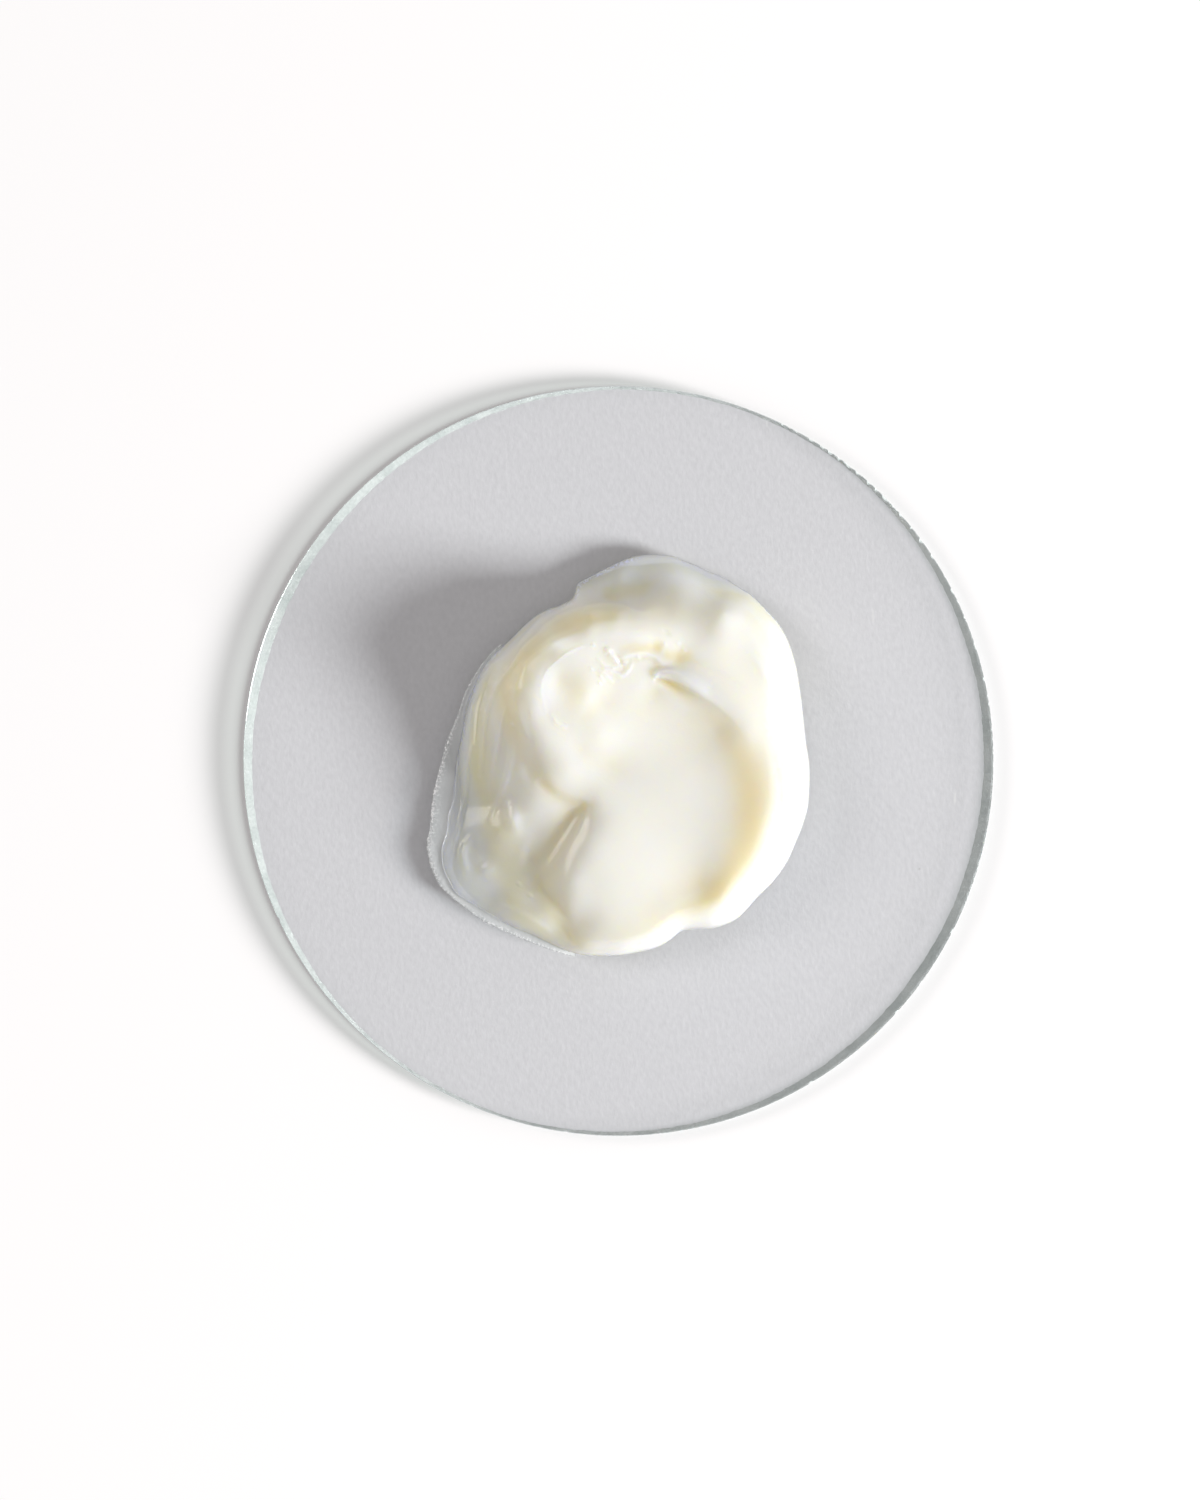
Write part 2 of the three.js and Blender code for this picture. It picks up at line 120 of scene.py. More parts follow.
# Marks that the finger and the spatula left, each drawn along a smooth line
# of [x, y, amount, width]: (kind, points).  A ridge rises by the amount, a
# lip is a ridge with its steep side on the left of the line, a step lowers
# the ground on the right of the line by the amount, and a facet is a tiny
# roof with two flat sides.
STROKES = [
    ("lip", [[17.8, 1.73, 0, 1.6], [15.53, 5.07, 0.1, 1.2], [13.13, 7.33, 0.22, 1.1], [10.73, 8.93, 0.42, 1], [8.73, 10, 0.64, 0.85], [7.13, 10.67, 0.78, 0.65], [5.93, 11.07, 0.7, 0.45], [5, 11.2, 0.35, 0.3]]),
    ("ridge", [[4.67, 11.07, 0.2, 0.22], [5, 11.53, 0.4, 0.26], [5.53, 11.87, 0.55, 0.32], [6.6, 11.93, 0.6, 0.45], [7.93, 11.6, 0.5, 0.65], [9.8, 10.67, 0.3, 0.9], [11.93, 9.2, 0, 1.2]]),
    ("ridge", [[5, 10.67, -0.25, 0.3], [5.8, 10.67, -0.5, 0.42], [6.87, 10.27, -0.6, 0.65], [8.33, 9.33, -0.4, 0.85], [10.33, 7.87, -0.12, 0.95], [12.47, 6, 0, 1]]),
    ("ridge", [[3.67, 14.93, -0.07, 0.5], [4.73, 14.8, -0.23, 0.8], [5.8, 14.4, -0.1, 0.6]]),
    ("ridge", [[6.6, 14.13, -0.1, 0.6], [7.8, 13.73, -0.26, 0.95], [9.27, 13.33, -0.16, 0.8], [10.87, 12.93, -0.03, 0.6]]),
    ("lip", [[5.8, 12.93, 0.13, 0.4], [4.47, 13.87, 0.2, 0.4], [3.13, 14.27, 0.2, 0.45], [1.4, 14, 0.16, 0.5], [-0.07, 13.47, 0.07, 0.5]]),
    ("ridge", [[1.4, 13.33, -0.1, 0.35], [3.13, 13.6, -0.16, 0.35], [4.47, 13.2, -0.16, 0.35], [5.27, 12.27, -0.07, 0.3]]),
    ("step", [[11.13, 12.67, 0.04, 0.3], [13.27, 11.87, 0.07, 0.4], [15.53, 10.67, 0.04, 0.4], [17.27, 9.2, 0, 0.4]]),
    ("step", [[-11.67, 5.47, 0.06, 0.6], [-11, 1.2, 0.14, 0.8], [-9.67, -2.53, 0.2, 0.9], [-7.53, -4.13, 0.2, 0.8], [-4.33, -5.6, 0.24, 0.6], [-5.53, -8.67, 0.26, 0.95], [-7.13, -12, 0.24, 1], [-7.8, -15.87, 0.22, 1], [-7.13, -19.6, 0.18, 0.9], [-5.67, -23.33, 0.12, 0.8]]),
    ("ridge", [[-3.8, -5.6, -0.07, 0.6], [-5.13, -6.53, -0.23, 1], [-7, -8.93, -0.26, 1.4], [-8.73, -11.6, -0.23, 1.5], [-10.2, -14.27, -0.2, 1.3], [-11, -16.93, -0.07, 1]]),
    ("ridge", [[-10.47, -15.6, -0.07, 0.5], [-9.67, -17.6, -0.26, 0.7], [-8.07, -19.2, -0.23, 0.6], [-7, -20.67, -0.07, 0.5]]),
    ("ridge", [[-7.53, -22.27, -0.07, 0.4], [-6.47, -23.47, -0.23, 0.5], [-5.13, -24.4, -0.07, 0.4]]),
    ("ridge", [[-10.73, -2.27, 0, 0.5], [-9.93, -3.33, -0.29, 0.7], [-8.33, -4.53, -0.2, 0.6], [-6.47, -5.2, -0.07, 0.5]]),
    ("ridge", [[-14.6, -6, 0.2, 0.8], [-14.2, -7.47, 0.52, 1], [-13.67, -8.93, 0.2, 0.9]]),
    ("ridge", [[-18.07, -13.73, 0.1, 0.9], [-17.53, -14.4, 0.26, 1.1], [-16.87, -15.33, 0.1, 0.9]]),
    ("ridge", [[-13.53, -0.4, 0.07, 0.8], [-13.13, -1.47, 0.2, 0.9], [-12.47, -2.67, 0.07, 0.8]]),
    ("ridge", [[-12.07, -10.27, 0.03, 0.6], [-12.87, -12.13, 0.16, 0.7], [-13.4, -14.27, 0.07, 0.8]]),
    ("lip", [[-12.2, 3.47, 0.07, 0.5], [-13.53, 6.93, 0.14, 0.7], [-13.8, 9.33, 0.2, 0.75], [-12.87, 12, 0.2, 0.75], [-11.27, 14, 0.2, 0.7], [-8.2, 15.87, 0.16, 0.65], [-5.8, 16.93, 0.07, 0.6]]),
    ("ridge", [[-8.47, 17.73, -0.07, 0.5], [-10.73, 15.87, -0.23, 0.6], [-12.73, 13.87, -0.26, 0.6], [-14.73, 10.53, -0.26, 0.6], [-15.27, 8.4, -0.23, 0.6], [-14.33, 5.73, -0.13, 0.6]]),
    ("ridge", [[-11, 17.2, 0.13, 0.3], [-7.93, 19.33, 0.23, 0.35], [-5.4, 20.27, 0.23, 0.35], [-1.93, 20.93, 0.23, 0.35], [0.6, 20.67, 0.2, 0.35], [2.07, 20, 0.16, 0.35], [3.67, 19.73, 0.07, 0.35]]),
    ("ridge", [[-10.47, 15.87, -0.13, 0.5], [-7.8, 17.6, -0.26, 0.65], [-4.07, 18.8, -0.29, 0.7], [-0.87, 19.2, -0.2, 0.6], [1.27, 19.07, -0.07, 0.5]]),
    ("ridge", [[2.87, 20.67, -0.03, 0.8], [4.87, 20.27, -0.1, 1.1], [7.53, 19.73, -0.1, 1.2], [9.93, 19.07, -0.03, 1]]),
    ("ridge", [[6.6, 22.53, 0.13, 1.6], [8.73, 21.47, 0.49, 2.1], [10.6, 20.4, 0.39, 2], [12.47, 19.07, 0.07, 1.5]]),
    ("ridge", [[-1.67, 16.93, 0.07, 0.8], [0.47, 17.07, 0.23, 1], [2.87, 16.8, 0.23, 1], [5, 16.13, 0.07, 0.8]]),
    ("ridge", [[5.8, 17.47, -0.03, 0.25], [6.33, 16.93, -0.2, 0.3], [7, 16.53, -0.03, 0.25]]),
    ("ridge", [[-10.47, 19.07, 0.11, 0.25], [-11.93, 17.33, 0.23, 0.3], [-13.27, 15.73, 0.11, 0.25]]),
    ("ridge", [[-10.33, 17.33, 0.11, 0.25], [-12.47, 15.33, 0.29, 0.3], [-14.2, 12.67, 0.29, 0.3], [-15.27, 11.2, 0.23, 0.3], [-16.47, 9.2, 0.06, 0.25]]),
    ("ridge", [[-15.13, 14.13, 0.06, 0.25], [-17, 12.8, 0.23, 0.3], [-18.2, 11.2, 0.29, 0.3], [-19, 9.47, 0.29, 0.3], [-19.53, 6.67, 0.11, 0.3], [-20.33, 3.47, 0.06, 0.25]]),
    ("ridge", [[-15.67, 11.33, 0.11, 0.3], [-16.87, 8.53, 0.29, 0.35], [-17.8, 5.47, 0.29, 0.35], [-18.07, 1.47, 0.17, 0.35], [-18.33, -1.87, 0.06, 0.3]]),
    ("ridge", [[-14.6, 8.13, 0.06, 0.3], [-15.53, 5.2, 0.25, 0.35], [-16.07, 1.73, 0.25, 0.35], [-16.6, -1.2, 0.11, 0.35], [-17.4, -5.2, 0.06, 0.35]]),
    ("ridge", [[-16.6, 12.4, -0.11, 0.3], [-17.67, 9.73, -0.25, 0.35], [-18.6, 6.53, -0.25, 0.35], [-19, 2.53, -0.11, 0.3]]),
    ("ridge", [[-19.8, 2.53, 0.06, 0.3], [-20.33, -1.2, 0.23, 0.35], [-20.6, -5.2, 0.23, 0.35], [-21.4, -9.2, 0.17, 0.3], [-22.2, -13.2, 0.06, 0.3]]),
    ("ridge", [[-14.2, 3.47, 0.06, 0.4], [-14.33, 0.13, 0.23, 0.45], [-15.4, -3.87, 0.17, 0.4], [-17.13, -7.87, 0.06, 0.4]]),
    ("ridge", [[-19.8, -10.27, 0.06, 0.4], [-20.73, -12.13, 0.29, 0.45], [-20.33, -14.27, 0.11, 0.4]]),
    ("ridge", [[-15.8, -19.2, 0.06, 0.5], [-12.47, -20.53, 0.23, 0.5], [-9.4, -22.53, 0.11, 0.4]]),
    ("ridge", [[-12.6, 6, -0.07, 1], [-12.33, 8.4, -0.21, 1.3], [-11.8, 11.07, -0.23, 1.3], [-10.33, 13.47, -0.18, 1.1], [-8.33, 15.07, -0.07, 0.9]]),
    ("lip", [[-9.8, 6.53, 0.03, 0.35], [-10.33, 9.47, 0.06, 0.35], [-9.53, 11.87, 0.12, 0.26], [-7.8, 13.6, 0.17, 0.25], [-6.2, 14.67, 0.17, 0.25], [-4.87, 15.2, 0.06, 0.25]]),
    ("ridge", [[-8.87, 6, 0.05, 0.3], [-8.2, 5.07, 0.17, 0.28], [-7.13, 4.53, 0.1, 0.28]]),
    ("facet", [[-1.73, 14.27, 0.16, 0.35], [-1.27, 14.67, 0.26, 0.5], [-0.87, 14.73, 0.12, 0.3]]),
    ("ridge", [[-1.67, 14.8, 0.14, 0.2], [-0.87, 14, 0.25, 0.26], [-0.07, 12.93, 0.1, 0.2]]),
    ("ridge", [[-1, 11.87, 0.14, 0.2], [0.33, 11.33, 0.23, 0.24], [1.27, 12, 0.23, 0.24], [1.8, 12.93, 0.1, 0.2]]),
    ("ridge", [[-2.73, 13.47, 0.1, 0.2], [-1.93, 12.67, 0.19, 0.24], [-0.87, 12.4, 0.1, 0.2]]),
    ("ridge", [[-2.6, 11.87, 0.1, 0.2], [-1.67, 11.33, 0.19, 0.22], [-0.87, 10.53, 0.1, 0.2]]),
    ("ridge", [[-0.33, 14.13, -0.1, 0.2], [0.2, 13.33, -0.19, 0.22], [0.6, 12.4, -0.1, 0.2]]),
    ("ridge", [[-1.27, 13.87, 0.21, 0.2], [-0.2, 13.33, 0.15, 0.18]]),
    ("ridge", [[-2.47, 11.2, 0.19, 0.17], [-2.07, 10.67, 0.14, 0.16]]),
    ("ridge", [[-1.93, 12.13, 0.21, 0.2], [-1.13, 11.87, 0.19, 0.2]]),
    ("ridge", [[-0.73, 12.27, 0.19, 0.18], [-0.07, 12.53, 0.14, 0.18]]),
    ("ridge", [[0.33, 12.53, 0.15, 0.17], [1, 13.07, 0.13, 0.17]]),
    ("ridge", [[-3.65, 12.21, 0.16, 0.19], [-3.47, 12.01, 0.11, 0.17]]),
    ("ridge", [[-3.44, 15.44, 0.16, 0.19], [-3.25, 15.24, 0.11, 0.17]]),
    ("ridge", [[2.56, 13.81, 0.16, 0.19], [2.75, 13.61, 0.11, 0.17]]),
    ("ridge", [[6.01, 15.44, 0.16, 0.19], [6.2, 15.24, 0.11, 0.17]]),
    ("ridge", [[7.79, 15.65, 0.16, 0.19], [7.97, 15.45, 0.11, 0.17]]),
    ("ridge", [[8.56, 14.77, 0.16, 0.19], [8.75, 14.57, 0.11, 0.17]]),
    ("ridge", [[-2.55, 10.28, 0.16, 0.19], [-2.36, 10.08, 0.11, 0.17]]),
    ("ridge", [[-14.15, 4.88, 0.16, 0.19], [-13.96, 4.68, 0.11, 0.17]]),
    ("ridge", [[-13.28, -16.32, 0.16, 0.19], [-13.09, -16.52, 0.11, 0.17]]),
    ("ridge", [[-11.81, -17.79, 0.16, 0.19], [-11.63, -17.99, 0.11, 0.17]]),
    ("ridge", [[-20.68, -11.25, 0.16, 0.19], [-20.49, -11.45, 0.11, 0.17]]),
    ("ridge", [[21, 6, 0, 0.3], [22.47, 0.13, 0.05, 0.35], [22.6, -5.2, 0.07, 0.35], [21.67, -11.2, 0.05, 0.35], [19.67, -15.87, 0, 0.3]]),
    ("ridge", [[22.07, 3.47, 0, 0.25], [23.4, -1.87, 0.05, 0.3], [23.53, -6.53, 0.06, 0.3], [22.47, -11.87, 0.04, 0.3], [20.47, -15.87, 0, 0.3]]),
    ("ridge", [[20.2, 2.13, 0, 0.3], [21.27, -3.2, -0.06, 0.35], [21.13, -7.87, -0.06, 0.35], [19.93, -12.53, -0.04, 0.35], [17.8, -16.4, 0, 0.3]]),
    ("ridge", [[16.33, -17.6, 0, 0.3], [14.2, -20.13, 0.06, 0.3], [11.4, -21.2, 0.06, 0.3], [8.2, -21.73, 0, 0.3]]),
    ("ridge", [[15.53, 16.13, 0, 0.4], [18.47, 12.8, 0.08, 0.5], [20.47, 8.8, 0.08, 0.5], [21.53, 4.8, 0, 0.4]]),
]

# Painted shade: a darker yellow-tan laid along folds and hollows, under
# the hook's curl and down slopes turned from the key light: [x, y, strength, width].
SHADE_TINTS = [
    [[9.27, 7.6, 0.1, 1.2], [12.87, 5.2, 0.5, 1.8], [15.4, 1.73, 0.75, 2.2], [16.87, -2.27, 0.95, 2.4], [17.27, -6.27, 1, 2.4], [16.73, -10.53, 0.95, 2.3], [15, -14.53, 0.8, 2], [12.47, -17.87, 0.8, 1.8], [9.53, -20.4, 0.6, 1.6], [6.2, -22.27, 0.3, 1.4]],
    [[-3.8, -6, 0.2, 1], [-6.2, -8.4, 0.6, 1.6], [-8.47, -11.87, 0.7, 2.2], [-9.8, -15.6, 0.7, 2.2], [-8.87, -19.2, 0.7, 2], [-7, -22.8, 0.6, 1.8], [-4.47, -24.67, 0.3, 1.2]],
    [[-11.53, -0.53, 0.3, 1.5], [-9.8, -3.2, 0.6, 1.4], [-7.13, -5.2, 0.5, 1.4], [-4.47, -6, 0.2, 1]],
    [[-7.8, 17.87, 0.4, 1], [-10.2, 15.87, 0.85, 1.5], [-12.47, 13.6, 1, 1.7], [-14.33, 10.4, 1, 1.9], [-14.73, 7.33, 0.9, 1.8], [-13.93, 3.47, 0.6, 1.6], [-12.87, 0.13, 0.4, 1.4]],
    [[-10.07, 16.4, 0.5, 1.2], [-7.13, 18, 0.9, 1.6], [-3.8, 19.07, 0.9, 1.6], [-0.33, 19.47, 0.6, 1.4], [1.8, 19.2, 0.2, 1]],
    [[2.33, 20.67, 0.15, 1.6], [4.87, 20.27, 0.32, 2.4], [7.53, 19.87, 0.32, 2.4], [10.47, 19.07, 0.1, 1.8]],
    [[-16.87, 11.87, 0.6, 1.3], [-18.47, 8.13, 0.75, 1.6], [-19, 2.8, 0.85, 1.9], [-18.47, -3.87, 0.9, 2.3], [-15.8, -10.53, 0.65, 3], [-14.47, -15.87, 0.7, 3.2], [-13.13, -19.87, 0.6, 2.4], [-9.8, -23.2, 0.5, 1.8]],
    [[-20.47, -7.87, 0.4, 1.6], [-19.8, -11.87, 0.5, 2], [-19, -15.87, 0.5, 2]],
    [[1.8, 14.67, 0.4, 0.5], [3.53, 14.93, 0.8, 0.7], [5.13, 15.07, 0.9, 0.8]],
    [[6.6, 13.87, 0.9, 0.8], [7.8, 13.73, 1, 1.1], [9, 13.87, 0.7, 0.9]],
    [[5.27, 10.53, 0.5, 0.4], [6.07, 10.33, 1, 0.6], [7.13, 9.73, 1, 0.85], [8.47, 8.67, 0.6, 0.9], [10.07, 7.33, 0.3, 1]],
    [[0.47, 14.8, 0.3, 0.5], [2.2, 15.2, 0.5, 0.5], [3.8, 14.8, 0.6, 0.5]],
    [[-7, 11.33, 0.15, 1.2], [-5.4, 9.47, 0.3, 1.8], [-5.93, 7.33, 0.25, 1.4]],
    [[-4.47, 5.47, 0.2, 0.8], [-3.53, 6.53, 0.3, 1], [-2.47, 8.67, 0.3, 1]],
]
# Painted shade as well: a darker, cooler tone laid where the key light strikes hardest, on the lit outer roll, the
# hook's blade and the dimple's lit wall: [x, y, strength, width].
LIT_DIMMING = [
    [[16.87, 16.13, 0.3, 2.2], [20.47, 11.33, 0.8, 2.6], [22.73, 5.47, 1, 2.6], [23.8, -1.2, 1, 2.6], [23.4, -7.87, 1, 2.6], [21.4, -14, 1, 2.6], [18.07, -18.13, 1, 2.4], [14.2, -20.4, 0.9, 2], [9.53, -21.87, 0.8, 1.7], [4.87, -23.87, 0.7, 1.6], [-1.13, -25.2, 0.5, 1.4]],
    [[4.73, 11.2, 0.4, 0.3], [5.4, 11.87, 0.55, 0.4], [6.87, 12.07, 0.6, 0.6], [8.73, 11.47, 0.6, 0.9], [11.13, 10, 0.5, 1.2], [13.8, 7.73, 0.3, 1.4], [16.2, 4.8, 0.3, 1.6]],
    [[-9.8, 11.87, 0.2, 0.8], [-10.07, 9.47, 0.4, 1.3], [-9.4, 7.33, 0.3, 1.1]],
]


def closed_curve(points, steps):
    p = np.asarray(points, float)
    a, b, c, d = np.roll(p, 1, 0), p, np.roll(p, -1, 0), np.roll(p, -2, 0)
    t = (np.arange(steps) / steps)[None, :, None]
    a, b, c, d = (v[:, None, :] for v in (a, b, c, d))
    out = 0.5 * (2 * b + (c - a) * t + (2 * a - 5 * b + 4 * c - d) * t * t
                 + (3 * b - a - 3 * c + d) * t ** 3)
    return out.reshape(-1, p.shape[1])


def open_curve(points, steps):
    p = np.asarray(points, float)
    first, last = 2 * p[:1] - p[1:2], 2 * p[-1:] - p[-2:-1]
    q = np.vstack([first, p, last])
    a, b, c, d = q[:-3], q[1:-2], q[2:-1], q[3:]
    t = (np.arange(steps) / steps)[None, :, None]
    a, b, c, d = (v[:, None, :] for v in (a, b, c, d))
    out = 0.5 * (2 * b + (c - a) * t + (2 * a - 5 * b + 4 * c - d) * t * t
                 + (3 * b - a - 3 * c + d) * t ** 3)
    return np.vstack([out.reshape(-1, p.shape[1]), p[-1:]])


OUT = closed_curve(OUTLINE, 24)


def reach(angle, curve=OUT):
    """Distance from CENTRE to the outline at an angle."""
    dx, dy = curve[:, 0] - CENTRE[0], curve[:, 1] - CENTRE[1]
    a, r = np.arctan2(dy, dx), np.hypot(dx, dy)
    order = np.argsort(a)
    a, r = a[order], r[order]
    a, r = np.r_[a - 2 * np.pi, a, a + 2 * np.pi], np.r_[r, r, r]
    return np.interp(angle, a, r)


def nearest(points, curve, block=4000):
    """Distance from each point to the curve's nearest sample, and which one."""
    best, where = np.empty(len(points)), np.empty(len(points), int)
    c = curve[:, :2].astype(np.float32)
    for i in range(0, len(points), block):
        p = points[i:i + block].astype(np.float32)
        d = (p[:, None, 0] - c[None, :, 0]) ** 2 + (p[:, None, 1] - c[None, :, 1]) ** 2
        k = d.argmin(1)
        where[i:i + block] = k
        best[i:i + block] = np.sqrt(d[np.arange(len(p)), k])
    return best, where


def bending_surface(points, softness):
    """A thin-plate surface through the height points."""
    p = np.asarray(points, float)
    xy, z, n = p[:, :2], p[:, 2], len(p)

    def kernel(r):
        return np.where(r > 0, r * r * np.log(np.maximum(r, 1e-9)), 0)

    d = np.linalg.norm(xy[:, None] - xy[None], axis=-1)
    m = np.zeros((n + 3, n + 3))
    m[:n, :n] = kernel(d) + softness * np.eye(n)
    m[:n, n] = m[n, :n] = 1
    m[:n, n + 1:] = xy
    m[n + 1:, :n] = xy.T
    w = np.linalg.solve(m, np.r_[z, 0, 0, 0])

    def at(q):
        out = np.empty(len(q))
        for i in range(0, len(q), 8000):
            s = q[i:i + 8000]
            r = np.hypot(s[:, None, 0] - xy[None, :, 0], s[:, None, 1] - xy[None, :, 1])
            out[i:i + 8000] = kernel(r) @ w[:n] + w[n] + s @ w[n + 1:]
        return out

    return at


swirl = bending_surface(HEIGHTS, 0.02)


def shoulder(angle):
    rows = np.array(SHOULDER, float)
    return np.interp(np.degrees(angle) % 360, rows[:, 0], rows[:, 1])


def lattice(ix, iy, seed):
    """A fixed pseudo-random number in 0..1 for a whole-number point."""
    h = (ix.astype(np.int64) * 374761393 + iy.astype(np.int64) * 668265263
         + np.int64(seed) * 2246822519) & 0xFFFFFFFF
    h = ((h ^ (h >> 13)) * 1274126177) & 0xFFFFFFFF
    return ((h ^ (h >> 16)) & 0xFFFFFF) / float(0xFFFFFF)


def value_noise(x, y, seed):
    """Smooth noise of -1..1 with one cell to the unit."""
    x0, y0 = np.floor(x), np.floor(y)
    fx, fy = x - x0, y - y0
    fx, fy = fx * fx * (3 - 2 * fx), fy * fy * (3 - 2 * fy)
    a, b = lattice(x0, y0, seed), lattice(x0 + 1, y0, seed)
    c, d = lattice(x0, y0 + 1, seed), lattice(x0 + 1, y0 + 1, seed)
    return 2 * ((a * (1 - fx) + b * fx) * (1 - fy) + (c * (1 - fx) + d * fx) * fy) - 1


def stroke_height(points):
    """What all the marks add at each point."""
    add = np.zeros(len(points))
    for kind, line in STROKES:
        curve = open_curve(line, 14)
        reachable = 3.2 * np.abs(curve[:, 3]).max()
        lo, hi = curve[:, :2].min(0) - reachable, curve[:, :2].max(0) + reachable
        near = np.where(((points >= lo) & (points <= hi)).all(1))[0]
        if not len(near):
            continue
        q = points[near]
        d, k = nearest(q, curve)
        ahead = curve[np.minimum(k + 1, len(curve) - 1), :2] - curve[np.maximum(k - 1, 0), :2]
        off = q - curve[k, :2]
        side = np.sign(ahead[:, 0] * off[:, 1] - ahead[:, 1] * off[:, 0])
        amount, width = curve[k, 2], np.maximum(curve[k, 3], 0.02)
        u = d / width
        if kind == "ridge":
            h = np.exp(-u * u)
        elif kind == "lip":
            v = np.where(side > 0, u * 2.6, u)
            h = np.exp(-v * v)
        elif kind == "step":
            h = (0.5 * np.tanh(1.6 * side * u) - 0.5) * np.exp(-(u / 2.4) ** 4)
        elif kind == "facet":
            h = np.clip(1 - u, 0, 1)
        else:
            raise ValueError(kind)
        add[near] += amount * h
    return add


def cream_height(points):
    """(height, distance to the edge) of the cream above the glass, in mm."""
    off = points - np.array(CENTRE)
    angle = np.arctan2(off[:, 1], off[:, 0])
    edge, _ = nearest(points, OUT)
    u = np.clip(edge / shoulder(angle), 0, 1)
    rise = np.sqrt(1 - (1 - u) ** 2)
    body = np.maximum(0.5, swirl(points))
    fade = np.clip(edge / 1.2, 0, 1)
    return rise * body + stroke_height(points) * fade * fade * (3 - 2 * fade), edge


def coarse_height(points):
    off = points - np.array(CENTRE)
    angle = np.arctan2(off[:, 1], off[:, 0])
    inside = np.clip((reach(angle) - np.hypot(off[:, 0], off[:, 1])) / 1.5, 0, 1)
    return np.maximum(0.5, swirl(points)) * np.sqrt(inside)


def fold_shade_paint(points, h):
    """0..1 of painted shade: how far a point lies down in a fold, against the
    ground 2 and 4 mm round it, and along the listed tint lines.  It stands in
    for the darker, yellower light that comes out of folds and shaded slopes."""
    out = np.zeros(len(points))
    for radius, gain in ((2.0, 1.1), (4.0, 0.45)):
        ring = np.zeros(len(points))
        for k in range(8):
            a = k * math.pi / 4 + 0.3
            q = points + radius * np.array([math.cos(a), math.sin(a)])
            ring += np.clip(coarse_height(q) - h, -3.0, 3.0) / 8
        out += gain * np.maximum(ring, 0)
    out = np.clip(out, 0, 0.6)
    # painted shade along the listed lines: under the hook, in hollows and down slopes turned from the key light
    for line in SHADE_TINTS:
        curve = open_curve(line, 12)
        d, k = nearest(points, curve)
        out = np.maximum(out, curve[k, 2] * np.exp(-(d / curve[k, 3]) ** 2))
    return np.clip(out, 0, 1) * np.clip((swirl(points) - 0.7) / 1.2, 0, 1)


def lit_dimming_paint(points):
    """0..1 of painted shade where the key light strikes hardest: a darker, cooler tone."""
    out = np.zeros(len(points))
    for line in LIT_DIMMING:
        curve = open_curve(line, 12)
        d, k = nearest(points, curve)
        out = np.maximum(out, curve[k, 2] * np.exp(-(d / curve[k, 3]) ** 2))
    return np.clip(out, 0, 1)


def beaded(points):
    """0..1 along the two stretches of the edge where it has dried to a row
    of tiny beads."""
    off = points - np.array(CENTRE)
    deg = np.degrees(np.arctan2(off[:, 1], off[:, 0])) % 360
    edge, _ = nearest(points, OUT)
    top = np.clip((deg - 84) / 4, 0, 1) * np.clip((122 - deg) / 6, 0, 1)
    left = np.clip((deg - 136) / 4, 0, 1) * np.clip((178 - deg) / 6, 0, 1)
    return np.maximum(top, 0.8 * left) * np.exp(-((edge - 0.3) / 0.26) ** 2)


def mesh_object(name, verts, faces, body, smooth=True):
    me = bpy.data.meshes.new(name)
    me.from_pydata(verts, [], faces)
    me.validate()
    me.update()
    if smooth:
        me.shade_smooth()
    ob = bpy.data.objects.new(name, me)
    bpy.context.scene.collection.objects.link(ob)
    if body:
        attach(ob, body)
    return ob


def build_cream():
    around, rings = 620, 154
    a = np.arange(around) / around * 2 * np.pi
    r = reach(a)
    s = np.arange(1, rings + 1) / rings
    # rings lie closer together towards the edge, where the shoulder is steep
    t = s + 0.10 * np.sin(np.pi * s) * s
    t = t / t[-1]
    x = CENTRE[0] + np.outer(t, r * np.cos(a))
    y = CENTRE[1] + np.outer(t, r * np.sin(a))
    points = np.stack([x.ravel(), y.ravel()], 1)
    points = np.vstack([[CENTRE], points])
    h, edge = cream_height(points)
    bead = beaded(points)
    h = h + 0.21 * bead * np.maximum(0, value_noise(points[:, 0] * 2.6, points[:, 1] * 2.6, 21))
    h[-around:] = 0.0
    base = Z_GLASS + REST_GAP
    top = np.c_[points, base + h]
    n = len(top)
    foot = np.array([[CENTRE[0], CENTRE[1], base]])
    verts = np.vstack([top, foot]) * MM
    faces = []
    i = np.arange(around)
    j = (i + 1) % around
    faces += [(0, int(p), int(q)) for p, q in zip(1 + i, 1 + j)]
    for k in range(rings - 1):
        lo, hi = 1 + k * around, 1 + (k + 1) * around
        faces += np.stack([lo + i, hi + i, hi + j, lo + j], 1).tolist()
    rim = 1 + (rings - 1) * around
    faces += [(n, int(q), int(p)) for p, q in zip(rim + i, rim + j)]
    ob = mesh_object("cream", verts.tolist(), faces, "plate")
    me = ob.data
    depth = me.attributes.new("thickness", "FLOAT", "POINT")
    depth.data.foreach_set("value", np.r_[np.maximum(0.5, swirl(points)), 0.0].astype(np.float32))
    # painted shade of the folds, kept on the mesh for the material
    warm = me.attributes.new("warmth", "FLOAT", "POINT")
    warm.data.foreach_set("value", np.r_[fold_shade_paint(points, h), 0.0].astype(np.float32))
    # painted shade on the lit faces, kept on the mesh for the material
    white = me.attributes.new("whiteness", "FLOAT", "POINT")
    white.data.foreach_set("value", np.r_[lit_dimming_paint(points), 0.0].astype(np.float32))
    rimmed = me.attributes.new("beads", "FLOAT", "POINT")
    rimmed.data.foreach_set("value", np.r_[bead, 0.0].astype(np.float32))
    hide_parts("cream_dollop")
    return ob


# ------------------------------------------------------------------ materials
def material(name):
    m = bpy.data.materials.new(name)
    m.use_nodes = True
    nt = m.node_tree
    nt.nodes.clear()
    return m, nt


def add(nt, kind, **sockets):
    node = nt.nodes.new(kind)
    for key, value in sockets.items():
        if key.startswith("_"):
            setattr(node, key[1:], value)
        else:
            node.inputs[key.replace("__", " ")].default_value = value
    return node


